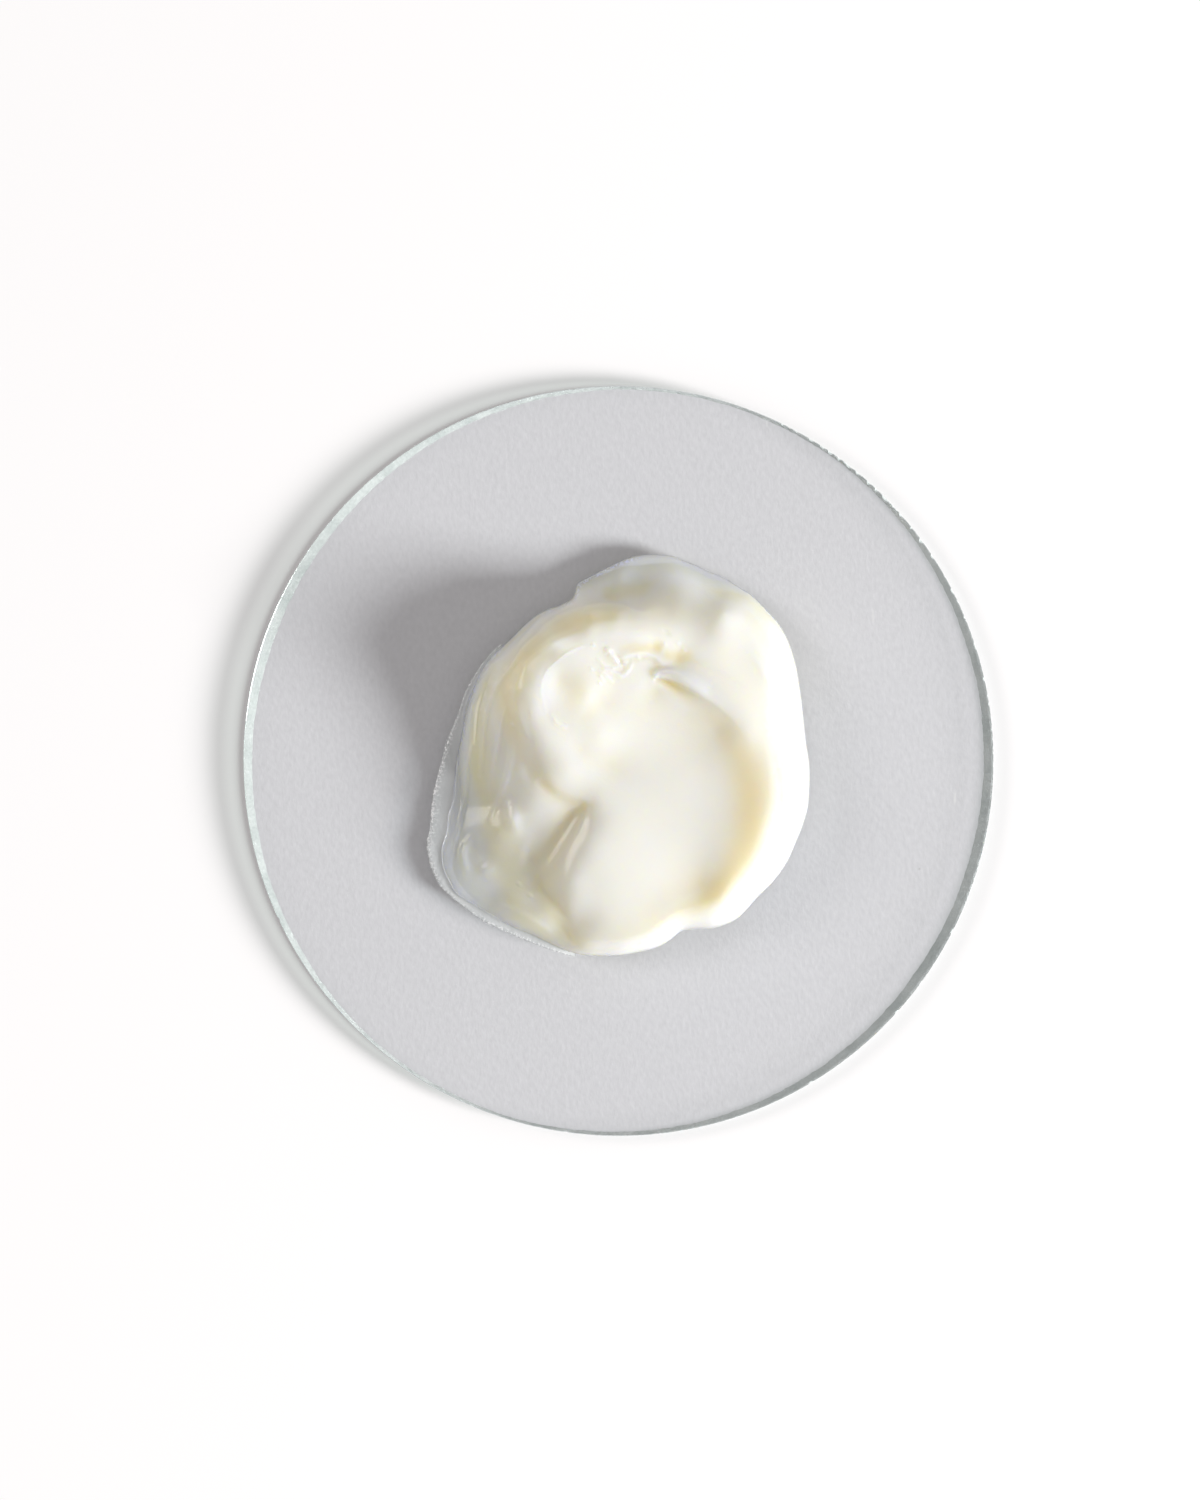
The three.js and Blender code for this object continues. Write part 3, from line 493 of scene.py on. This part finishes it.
def ramp(nt, fac, stops, mode="LINEAR"):
    node = nt.nodes.new("ShaderNodeValToRGB")
    node.color_ramp.interpolation = mode
    el = node.color_ramp.elements
    while len(el) < len(stops):
        el.new(0.5)
    for e, (pos, col) in zip(el, stops):
        e.position = pos
        e.color = (*col, 1) if len(col) == 3 else col
    nt.links.new(fac, node.inputs["Fac"])
    return node.outputs["Color"]


def math_node(nt, op, a, b=None, clamp=False):
    node = nt.nodes.new("ShaderNodeMath")
    node.operation = op
    node.use_clamp = clamp
    for socket, v in zip(node.inputs, (a, b)):
        if v is None:
            continue
        if isinstance(v, (int, float)):
            socket.default_value = v
        else:
            nt.links.new(v, socket)
    return node.outputs[0]


def mix_colour(nt, fac, a, b, blend="MIX"):
    node = nt.nodes.new("ShaderNodeMix")
    node.data_type = "RGBA"
    node.blend_type = blend
    for key, v in (("Factor", fac), ("A", a), ("B", b)):
        socket = [s for s in node.inputs if s.name == key and s.enabled][0]
        if isinstance(v, (int, float)):
            socket.default_value = v
        elif isinstance(v, tuple):
            socket.default_value = (*v, 1)
        else:
            nt.links.new(v, socket)
    return [s for s in node.outputs if s.enabled][0]


def object_coords(nt, scale=(1, 1, 1), rot=(0, 0, 0)):
    tc = nt.nodes.new("ShaderNodeTexCoord")
    mp = nt.nodes.new("ShaderNodeMapping")
    mp.inputs["Scale"].default_value = scale
    mp.inputs["Rotation"].default_value = rot
    nt.links.new(tc.outputs["Object"], mp.inputs["Vector"])
    return mp.outputs["Vector"]


def noise(nt, vector, scale, detail=2.0, rough=0.5):
    n = add(nt, "ShaderNodeTexNoise", Scale=scale, Detail=detail, Roughness=rough)
    nt.links.new(vector, n.inputs["Vector"])
    return n.outputs["Fac"]


def cream_material():
    """Thick ivory cream: light goes deep, and blue least of all."""
    m, nt = material("ivory_cream")
    link = nt.links.new
    out = nt.nodes.new("ShaderNodeOutputMaterial")
    p = nt.nodes.new("ShaderNodeBsdfPrincipled")
    p.subsurface_method = "RANDOM_WALK"
    p.inputs["Subsurface Weight"].default_value = 1.0
    p.inputs["Subsurface Radius"].default_value = (1.0, 0.84, 0.42)
    p.inputs["Subsurface Scale"].default_value = 0.0057
    p.inputs["IOR"].default_value = 1.4
    p.inputs["Specular IOR Level"].default_value = 0.4
    p.inputs["Coat Weight"].default_value = 0.45
    p.inputs["Coat Roughness"].default_value = 0.07
    p.inputs["Coat IOR"].default_value = 1.36
    co = object_coords(nt)
    cloud = noise(nt, co, 90.0, 3.0)
    body = mix_colour(nt, cloud, (0.83, 0.827, 0.765), (0.845, 0.842, 0.788))
    # painted shade: a darker yellow-tan mixed in along folds and shaded slopes
    warm = nt.nodes.new("ShaderNodeAttribute")
    warm.attribute_name = "warmth"
    body = mix_colour(nt, warm.outputs["Fac"], body, (0.83, 0.772, 0.54))
    # painted shade: a darker, cooler tone mixed in where the key light strikes hardest
    white = nt.nodes.new("ShaderNodeAttribute")
    white.attribute_name = "whiteness"
    body = mix_colour(nt, white.outputs["Fac"], body, (0.72, 0.735, 0.737))
    depth = nt.nodes.new("ShaderNodeAttribute")
    depth.attribute_name = "thickness"
    thin = nt.nodes.new("ShaderNodeMapRange")
    thin.interpolation_type = "SMOOTHSTEP"
    thin.inputs["From Min"].default_value = 1.7
    thin.inputs["From Max"].default_value = 0.5
    link(depth.outputs["Fac"], thin.inputs["Value"])
    body = mix_colour(nt, thin.outputs["Result"], body, (0.765, 0.755, 0.60))
    # painted highlight: near-white flecks on the beaded edge stand in for glints
    beads = nt.nodes.new("ShaderNodeAttribute")
    beads.attribute_name = "beads"
    bead_glint_paint = nt.nodes.new("ShaderNodeMapRange")
    bead_glint_paint.inputs["From Min"].default_value = 0.48
    bead_glint_paint.inputs["From Max"].default_value = 0.60
    link(noise(nt, co, 3000.0, 1.0), bead_glint_paint.inputs["Value"])
    body = mix_colour(nt, math_node(nt, "MULTIPLY", bead_glint_paint.outputs["Result"], beads.outputs["Fac"], True), body, (0.97, 0.98, 0.98))
    link(body, p.inputs["Base Color"])
    rough = nt.nodes.new("ShaderNodeMapRange")
    rough.inputs["To Min"].default_value = 0.16
    rough.inputs["To Max"].default_value = 0.30
    link(cloud, rough.inputs["Value"])
    link(rough.outputs["Result"], p.inputs["Roughness"])
    fine = noise(nt, co, 2600.0, 2.0)
    bump = add(nt, "ShaderNodeBump", Strength=0.06, Distance=0.0002)
    link(fine, bump.inputs["Height"])
    link(bump.outputs["Normal"], p.inputs["Normal"])
    link(p.outputs["BSDF"], out.inputs["Surface"])
    return m


def card_material():
    m, nt = material("grained_card")
    link = nt.links.new
    out = nt.nodes.new("ShaderNodeOutputMaterial")
    p = nt.nodes.new("ShaderNodeBsdfPrincipled")
    p.inputs["Roughness"].default_value = 0.85
    p.inputs["Specular IOR Level"].default_value = 0.2
    # the felt mark: short soft dashes that run diagonally
    co = object_coords(nt, (1.0, 0.62, 1.0), (0, 0, math.radians(38)))
    grain = noise(nt, co, 1750.0, 2.5, 0.55)
    col = ramp(nt, grain, [(0.25, (0.668, 0.668, 0.694)), (0.75, (0.730, 0.730, 0.758))])
    # a few dark specks, and some lighter fibres where it has been rubbed
    dirt = ramp(nt, noise(nt, object_coords(nt), 1900.0, 1.0), [(0.0, (0, 0, 0)), (0.82, (0, 0, 0)), (0.85, (1, 1, 1))])
    col = mix_colour(nt, dirt, col, (0.42, 0.41, 0.40))
    fibre = ramp(nt, noise(nt, object_coords(nt, (1.0, 0.16, 1.0), (0, 0, math.radians(-24))), 1500.0, 1.0),
                 [(0.0, (0, 0, 0)), (0.74, (0, 0, 0)), (0.78, (1, 1, 1))])
    patches = ramp(nt, noise(nt, object_coords(nt), 70.0, 1.0), [(0.58, (0, 0, 0)), (0.70, (1, 1, 1))])
    rubbed = math_node(nt, "MULTIPLY", fibre, patches, True)
    col = mix_colour(nt, rubbed, col, (0.80, 0.80, 0.81))
    link(col, p.inputs["Base Color"])
    bump = add(nt, "ShaderNodeBump", Strength=0.22, Distance=0.00012)
    link(grain, bump.inputs["Height"])
    link(bump.outputs["Normal"], p.inputs["Normal"])
    link(p.outputs["BSDF"], out.inputs["Surface"])
    return m


def film_material():
    """Half-dried soap water: clear and grey, with bright specks painted by its rim as glints."""
    m, nt = material("clear_film")
    link = nt.links.new
    out = nt.nodes.new("ShaderNodeOutputMaterial")
    t = add(nt, "ShaderNodeBsdfTransparent", Color=(0.93, 0.95, 0.955, 1))
    p = nt.nodes.new("ShaderNodeBsdfPrincipled")
    p.inputs["Roughness"].default_value = 0.12
    p.inputs["IOR"].default_value = 1.4
    co = object_coords(nt)
    rim = nt.nodes.new("ShaderNodeAttribute")
    rim.attribute_name = "rim"
    # painted highlight: bright flecks near the rim stand in for glints, and make the film more solid there
    specks = nt.nodes.new("ShaderNodeMapRange")
    specks.inputs["From Min"].default_value = 0.50
    specks.inputs["From Max"].default_value = 0.60
    link(noise(nt, co, 2600.0, 2.0, 0.6), specks.inputs["Value"])
    rim_glint_paint = math_node(nt, "MULTIPLY", specks.outputs["Result"], rim.outputs["Fac"], True)
    streak = noise(nt, object_coords(nt, (1.0, 0.25, 1.0), (0, 0, math.radians(-14))), 900.0, 2.0)
    grey = ramp(nt, streak, [(0.3, (0.65, 0.67, 0.672)), (0.7, (0.80, 0.815, 0.818))])
    link(mix_colour(nt, rim_glint_paint, grey, (0.95, 0.96, 0.96)), p.inputs["Base Color"])
    share = nt.nodes.new("ShaderNodeMapRange")
    share.inputs["To Min"].default_value = 0.5
    share.inputs["To Max"].default_value = 0.92
    link(rim_glint_paint, share.inputs["Value"])
    bump = add(nt, "ShaderNodeBump", Strength=0.25, Distance=0.0002)
    link(noise(nt, co, 2200.0, 2.0), bump.inputs["Height"])
    link(bump.outputs["Normal"], p.inputs["Normal"])
    mix = nt.nodes.new("ShaderNodeMixShader")
    link(share.outputs["Result"], mix.inputs["Fac"])
    link(t.outputs["BSDF"], mix.inputs[1])
    link(p.outputs["BSDF"], mix.inputs[2])
    path = nt.nodes.new("ShaderNodeLightPath")
    wet = nt.nodes.new("ShaderNodeMixShader")
    link(path.outputs["Is Shadow Ray"], wet.inputs["Fac"])
    link(mix.outputs["Shader"], wet.inputs[1])
    link(t.outputs["BSDF"], wet.inputs[2])
    link(wet.outputs["Shader"], out.inputs["Surface"])
    return m


# --------------------------------------------------------------- glass, card
def lathe(name, profile, steps, body, wobble=None):
    """A closed body of revolution: profile is [radius, z] from axis to axis."""
    verts, faces = [], []
    start = (0.0, 0.0, profile[0][1])
    end = (0.0, 0.0, profile[-1][1])
    rings = profile[1:-1]
    verts.append(start)
    for r, z in rings:
        for i in range(steps):
            a = 2 * math.pi * i / steps
            dr, dz = wobble(a, r, z) if wobble else (0, 0)
            verts.append(((r + dr) * math.cos(a), (r + dr) * math.sin(a), z + dz))
    verts.append(end)
    last = len(verts) - 1
    for i in range(steps):
        j = (i + 1) % steps
        faces.append((0, 1 + j, 1 + i))
        for k in range(len(rings) - 1):
            lo, hi = 1 + k * steps, 1 + (k + 1) * steps
            faces.append((lo + i, lo + j, hi + j, hi + i))
        hi = 1 + (len(rings) - 1) * steps
        faces.append((last, hi + i, hi + j))
    return mesh_object(name, [(x * MM, y * MM, z * MM) for x, y, z in verts], faces, body, smooth=False)


# Where the rim is chipped: [angle, reach in degrees, depth in mm].
CHIPS = [[33, 0.3, 0.25], [38.5, 0.25, 0.33], [42.8, 0.25, 0.22], [46.4, 0.3, 0.33], [50.2, 0.25, 0.3], [53.8, 0.3, 0.34], [57.2, 0.25, 0.25], [61.5, 0.3, 0.2], [64, 0.2, 0.24], [22.5, 0.25, 0.22], [36, 0.5, 0.35], [41, 0.35, 0.28], [44.5, 0.7, 0.3], [48, 0.3, 0.4], [52, 0.6, 0.26], [55.5, 0.35, 0.35], [59, 0.5, 0.22], [27, 0.4, 0.2], [18, 0.3, 0.22], [86, 0.25, 0.22], [91, 0.2, 0.2], [97, 0.3, 0.18], [333, 0.5, 0.2], [318, 0.4, 0.22], [301, 0.35, 0.2], [262, 0.3, 0.18], [247, 0.3, 0.2], [205, 0.3, 0.15], [140, 0.3, 0.15]]


def rim_bites(a):
    """How far the top edge is bitten back at an angle, in mm."""
    deg = math.degrees(a) % 360
    x = deg / 360 * 900.0
    fine = float(value_noise(np.array([x]), np.array([0.5]), 11)[0])
    finer = float(value_noise(np.array([x * 2.7]), np.array([4.5]), 12)[0])
    patch = float(value_noise(np.array([deg / 9.0]), np.array([9.5]), 13)[0])
    rough = 0.35 + 1.9 * max(0.0, math.cos(math.radians(deg - 32))) ** 2
    bite = max(0.0, fine * 0.65 + finer * 0.35 + patch * 0.35 - 0.18) * 0.155 * rough
    for at, wide, deep in CHIPS:
        d = abs((deg - at + 180) % 360 - 180) / wide
        if d < 1:
            bite = max(bite, deep * (1 - d * d) ** 0.6 * (0.8 + 0.2 * finer))
    return bite


def ground_width(a):
    """Width of the rough ground slope round the foot, in mm: widest where
    the stone was pressed hardest, and never quite even."""
    c = math.cos(a + math.radians(20))
    x = math.degrees(a) % 360
    ragged = float(value_noise(np.array([x / 360 * 520.0]), np.array([2.5]), 31)[0])
    slow = float(value_noise(np.array([x / 360 * 60.0]), np.array([6.5]), 32)[0])
    return 0.30 + 0.90 * c * c + (0.16 * c if c > 0 else 0) + 0.07 * ragged + 0.06 * slow


def build_glass():
    lo, hi, r = Z_CARD + REST_GAP, Z_GLASS, PLATE_R
    steps = 1440
    rows = [(r - 0.95, lo), (r - 0.03, lo + 0.55), (r, lo + 0.66), (r, lo + 0.85),
            (r, hi - 0.50), (r, hi - 0.10), (r - 0.08, hi)]
    verts = [(0, 0, lo), (0, 0, hi)]
    for k, (rr, z) in enumerate(rows):
        for i in range(steps):
            a = 2 * math.pi * i / steps
            bite = rim_bites(a)
            share = (0, 0, 0, 0.0, 0.25, 0.8, 1.15)[k]
            q = rr - bite * share
            if k == 0:
                q = r - ground_width(a)
            zz = z - (bite * 0.9 if k == 5 else 0)
            verts.append((q * math.cos(a), q * math.sin(a), zz))
    faces, kinds = [], []
    last = 2 + (len(rows) - 1) * steps
    for i in range(steps):
        j = (i + 1) % steps
        faces.append((0, 2 + j, 2 + i)); kinds.append(0)
        for k in range(len(rows) - 1):
            p, q = 2 + k * steps, 2 + (k + 1) * steps
            faces.append((p + i, p + j, q + j, q + i))
            kinds.append((2, 2, 1, 1, 1, 3)[k])
        faces.append((1, last + i, last + j)); kinds.append(0)
    ob = mesh_object("glass_disc", [tuple(c * MM for c in v) for v in verts], faces, "plate", smooth=False)
    for f, kind in zip(ob.data.polygons, kinds):
        f.material_index = kind
    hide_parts("glass_plate")
    for m in (clear_glass(), cut_edge(), ground_arris("ground_foot_arris", 0.84, 0.13, (0.42, 0.475, 0.455)), ground_arris("ground_top_arris", 0.24, 0.20, (0.45, 0.49, 0.48))):
        ob.data.materials.append(m)
    return ob


def glass_shell(m, nt, glass, shadow_colour):
    """Glass to the eye, and a clear tint to the light that falls through it."""
    link = nt.links.new
    out = nt.nodes.new("ShaderNodeOutputMaterial")
    t = nt.nodes.new("ShaderNodeBsdfTransparent")
    if isinstance(shadow_colour, tuple):
        t.inputs["Color"].default_value = (*shadow_colour, 1)
    else:
        link(shadow_colour, t.inputs["Color"])
    path = nt.nodes.new("ShaderNodeLightPath")
    bounce = nt.nodes.new("ShaderNodeMixShader")
    link(path.outputs["Is Diffuse Ray"], bounce.inputs["Fac"])
    link(glass, bounce.inputs[1])
    link(t.outputs["BSDF"], bounce.inputs[2])
    mix = nt.nodes.new("ShaderNodeMixShader")
    link(path.outputs["Is Shadow Ray"], mix.inputs["Fac"])
    link(bounce.outputs["Shader"], mix.inputs[1])
    link(t.outputs["BSDF"], mix.inputs[2])
    link(mix.outputs["Shader"], out.inputs["Surface"])
    return m


def clear_glass():
    m, nt = material("clear_glass")
    g = add(nt, "ShaderNodeBsdfGlass", Color=(0.995, 1.0, 0.998, 1), Roughness=0.0, IOR=1.52)
    return glass_shell(m, nt, g.outputs["BSDF"], (0.965, 0.968, 0.967))


def cut_edge():
    """The cut wall: greenish to look into.  Light from the side is turned
    away by the wall, except low down on the far side of the plate, where
    what leaves the glass gives a pale mint glow."""
    m, nt = material("cut_glass_edge")
    clear = add(nt, "ShaderNodeBsdfGlass", Color=(0.86, 0.97, 0.93, 1), Roughness=0.12, IOR=1.52)
    dull = add(nt, "ShaderNodeBsdfDiffuse", Color=(0.84, 0.92, 0.90, 1))
    g = nt.nodes.new("ShaderNodeMixShader")
    g.inputs["Fac"].default_value = 0.45
    nt.links.new(clear.outputs["BSDF"], g.inputs[1])
    nt.links.new(dull.outputs["BSDF"], g.inputs[2])
    geo = nt.nodes.new("ShaderNodeNewGeometry")
    sep = nt.nodes.new("ShaderNodeSeparateXYZ")
    tc = nt.nodes.new("ShaderNodeTexCoord")
    nt.links.new(tc.outputs["Object"], sep.inputs[0])
    up = nt.nodes.new("ShaderNodeMapRange")
    up.inputs["From Min"].default_value = Z_CARD * MM
    up.inputs["From Max"].default_value = Z_GLASS * MM
    nt.links.new(sep.outputs["Z"], up.inputs["Value"])
    out_side = ramp(nt, up.outputs["Result"], [(0.0, (0.30, 0.34, 0.33)), (0.66, (0.22, 0.245, 0.245)), (0.82, (0.88, 0.92, 0.91)), (1.0, (0.90, 0.93, 0.92))])
    in_side = ramp(nt, up.outputs["Result"], [(0.0, (0.05, 0.055, 0.055)), (0.26, (0.10, 0.11, 0.11)), (0.36, (0.90, 0.91, 0.91)), (1.0, (0.95, 0.95, 0.95))])
    col = mix_colour(nt, geo.outputs["Backfacing"], out_side, in_side)
    return glass_shell(m, nt, g.outputs["Shader"], col)


def ground_arris(name, share, grit, shadow):
    """A ground edge: glass under a fine pale frosting that catches light, toned with painted shade across the plate."""
    m, nt = material(name)
    link = nt.links.new
    g = add(nt, "ShaderNodeBsdfGlass", Color=(0.93, 0.99, 0.97, 1), Roughness=0.2, IOR=1.52)
    co = object_coords(nt)
    tone = ramp(nt, noise(nt, co, 380.0, 2.0), [(0.3, (0.60, 0.65, 0.64)), (0.7, (0.76, 0.80, 0.79))])
    # painted shade and light: the frosting is darkest on the edge toward the key light, lightest just short of that,
    # and between the two on the far side
    toward_key = nt.nodes.new("ShaderNodeVectorMath")
    toward_key.operation = "DOT_PRODUCT"
    link(co, toward_key.inputs[0])
    toward_key.inputs[1].default_value = (0.94, -0.34, 0.0)
    side = ramp(nt, math_node(nt, "ADD", math_node(nt, "MULTIPLY", toward_key.outputs["Value"], 0.5 / (PLATE_R * MM)), 0.5), [(0.0, (0.80, 0.815, 0.81)), (0.45, (0.90, 0.91, 0.91)), (0.72, (0.96, 0.96, 0.96)), (0.84, (0.76, 0.765, 0.765)), (1.0, (0.68, 0.685, 0.685))])
    tone = mix_colour(nt, 1.0, tone, side, "MULTIPLY")
    d = nt.nodes.new("ShaderNodeBsdfDiffuse")
    link(tone, d.inputs["Color"])
    spots = noise(nt, co, 2400.0, 3.0, 0.7)
    fac = nt.nodes.new("ShaderNodeMapRange")
    fac.inputs["From Min"].default_value = 0.3
    fac.inputs["From Max"].default_value = 0.7
    fac.inputs["To Min"].default_value = share - grit
    fac.inputs["To Max"].default_value = min(1.0, share + grit)
    link(spots, fac.inputs["Value"])
    mix = nt.nodes.new("ShaderNodeMixShader")
    link(fac.outputs["Result"], mix.inputs["Fac"])
    link(g.outputs["BSDF"], mix.inputs[1])
    link(d.outputs["BSDF"], mix.inputs[2])
    return glass_shell(m, nt, mix.outputs["Shader"], shadow)


def build_card():
    r = SHEET_R
    profile = [(0, 0), (r - 0.05, 0), (r, 0.06), (r, Z_CARD - 0.06), (r - 0.05, Z_CARD), (0, Z_CARD)]
    ob = lathe("card_round", profile, 480, "sheet")
    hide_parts("backing_sheet")
    ob.data.materials.append(card_material())
    return ob


FILM_EDGE = [
    [-15.7, 15.6], [-16.6, 14.8], [-18.2, 13], [-19.5, 11], [-20.5, 9.1], [-21.1, 7.2], [-21.9, 5.1],
    [-22.9, 2.8], [-23.5, 0.5], [-24.2, -2.3], [-24.8, -4.6], [-25, -7], [-25.2, -9.3], [-25.6, -10.9],
    [-25.4, -12.8], [-24.8, -14.8], [-23.7, -16.8], [-22.1, -18.3], [-20.1, -19.9], [-17.8, -21.5], [-15.4, -22.6],
    [-12.7, -23.8], [-10.4, -24.7], [-7.8, -25.6], [-5.8, -26.1],
]

def build_film():
    outer = open_curve(FILM_EDGE, 10)
    base = Z_GLASS + REST_GAP
    off = outer - np.array(CENTRE)
    a = np.arctan2(off[:, 1], off[:, 0])
    own = np.hypot(off[:, 0], off[:, 1])
    inner = np.minimum(reach(a) - 0.25, own - 0.05)
    rows = []
    n = len(outer)
    across = 12
    for k in range(across + 1):
        s = k / across
        rr = own + (inner - own) * s
        h = 0.32 * np.sqrt(1 - (1 - min(1, s * 3)) ** 2) + 0.25 * s ** 3
        ends = np.clip(np.minimum(np.arange(n), np.arange(n)[::-1]) / 8, 0, 1)
        rows.append(np.stack([CENTRE[0] + rr * np.cos(a), CENTRE[1] + rr * np.sin(a), base + h * ends], 1))
    top = np.array(rows)
    foot = top.copy()
    foot[..., 2] = base
    verts = np.vstack([top.reshape(-1, 3), foot.reshape(-1, 3)]) * MM
    shift = (across + 1) * n
    faces = []
    for k in range(across):
        for i in range(n - 1):
            p, q, u, v = k * n + i, k * n + i + 1, (k + 1) * n + i + 1, (k + 1) * n + i
            faces.append((p, q, u, v))
            faces.append((shift + p, shift + v, shift + u, shift + q))
    for i in range(n - 1):
        faces.append((i + 1, i, shift + i, shift + i + 1))
        k = across * n
        faces.append((k + i, k + i + 1, shift + k + i + 1, shift + k + i))
    for k in range(across):
        p, q = k * n, (k + 1) * n
        faces.append((p, q, shift + q, shift + p))
        p, q = k * n + n - 1, (k + 1) * n + n - 1
        faces.append((q, p, shift + p, shift + q))
    ob = mesh_object("foot_film", verts.tolist(), faces, "plate")
    near_rim = np.repeat(np.exp(-(np.arange(across + 1) / across / 0.28) ** 2), n)
    rim = ob.data.attributes.new("rim", "FLOAT", "POINT")
    rim.data.foreach_set("value", np.r_[near_rim, near_rim].astype(np.float32))
    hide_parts("wet_film")
    ob.data.materials.append(film_material())
    return ob


cream = build_cream()
cream.data.materials.append(cream_material())
build_glass()
build_card()
build_film()

# --------------------------------------------------------------------- stage
def build_floor():
    bpy.ops.mesh.primitive_plane_add(size=3.0, location=(0, 0, 0))
    ob = bpy.context.object
    ob.name = "floor"
    m, nt = material("pale_floor")
    out = nt.nodes.new("ShaderNodeOutputMaterial")
    p = nt.nodes.new("ShaderNodeBsdfPrincipled")
    p.inputs["Base Color"].default_value = (0.97, 0.97, 0.97, 1)
    p.inputs["Roughness"].default_value = 0.9
    p.inputs["Specular IOR Level"].default_value = 0.1
    nt.links.new(p.outputs["BSDF"], out.inputs["Surface"])
    ob.data.materials.append(m)
    return ob


build_floor()

scene = bpy.context.scene
world = bpy.data.worlds.new("studio")
scene.world = world
world.use_nodes = True
bg = world.node_tree.nodes["Background"]
bg.inputs["Color"].default_value = (1.0, 0.952, 0.95, 1)
bg.inputs["Strength"].default_value = 0.33

key = bpy.data.lights.new("key", "AREA")
key.shape = "DISK"
key.size = 0.70
key.energy = 96.0
key.color = (1.0, 1.0, 1.0)
key_ob = bpy.data.objects.new("key", key)
scene.collection.objects.link(key_ob)
AZ, EL, DIST = math.radians(-18), math.radians(20.5), 2.4
key_ob.location = (DIST * math.cos(EL) * math.cos(AZ), DIST * math.cos(EL) * math.sin(AZ), DIST * math.sin(EL))
key_ob.rotation_mode = "QUATERNION"
key_ob.rotation_quaternion = (-Vector(key_ob.location)).to_track_quat("-Z", "Y")

fill = bpy.data.lights.new("fill", "AREA")
fill.shape = "DISK"
fill.size = 0.9
fill.energy = 10.8
fill.color = (1.0, 0.965, 0.955)
fill_ob = bpy.data.objects.new("fill", fill)
scene.collection.objects.link(fill_ob)
F_AZ, F_EL, F_DIST = math.radians(164), math.radians(36), 2.0
fill_ob.location = (F_DIST * math.cos(F_EL) * math.cos(F_AZ), F_DIST * math.cos(F_EL) * math.sin(F_AZ), F_DIST * math.sin(F_EL))
fill_ob.rotation_mode = "QUATERNION"
fill_ob.rotation_quaternion = (-Vector(fill_ob.location)).to_track_quat("-Z", "Y")

cam = bpy.data.cameras.new("camera")
cam.sensor_fit = "AUTO"
cam.sensor_width = 36.0
HEIGHT = 750.0
cam.lens = 36.0 * HEIGHT / 200.0
cam.clip_start = 0.01
cam.clip_end = 10
cam_ob = bpy.data.objects.new("camera", cam)
scene.collection.objects.link(cam_ob)
cam_ob.location = (-2.47 * MM, 1.47 * MM, (Z_GLASS + HEIGHT) * MM)
scene.camera = cam_ob

scene.view_settings.view_transform = "Standard"
scene.view_settings.look = "None"
scene.view_settings.exposure = 0.0

bpy.context.view_layer.update()
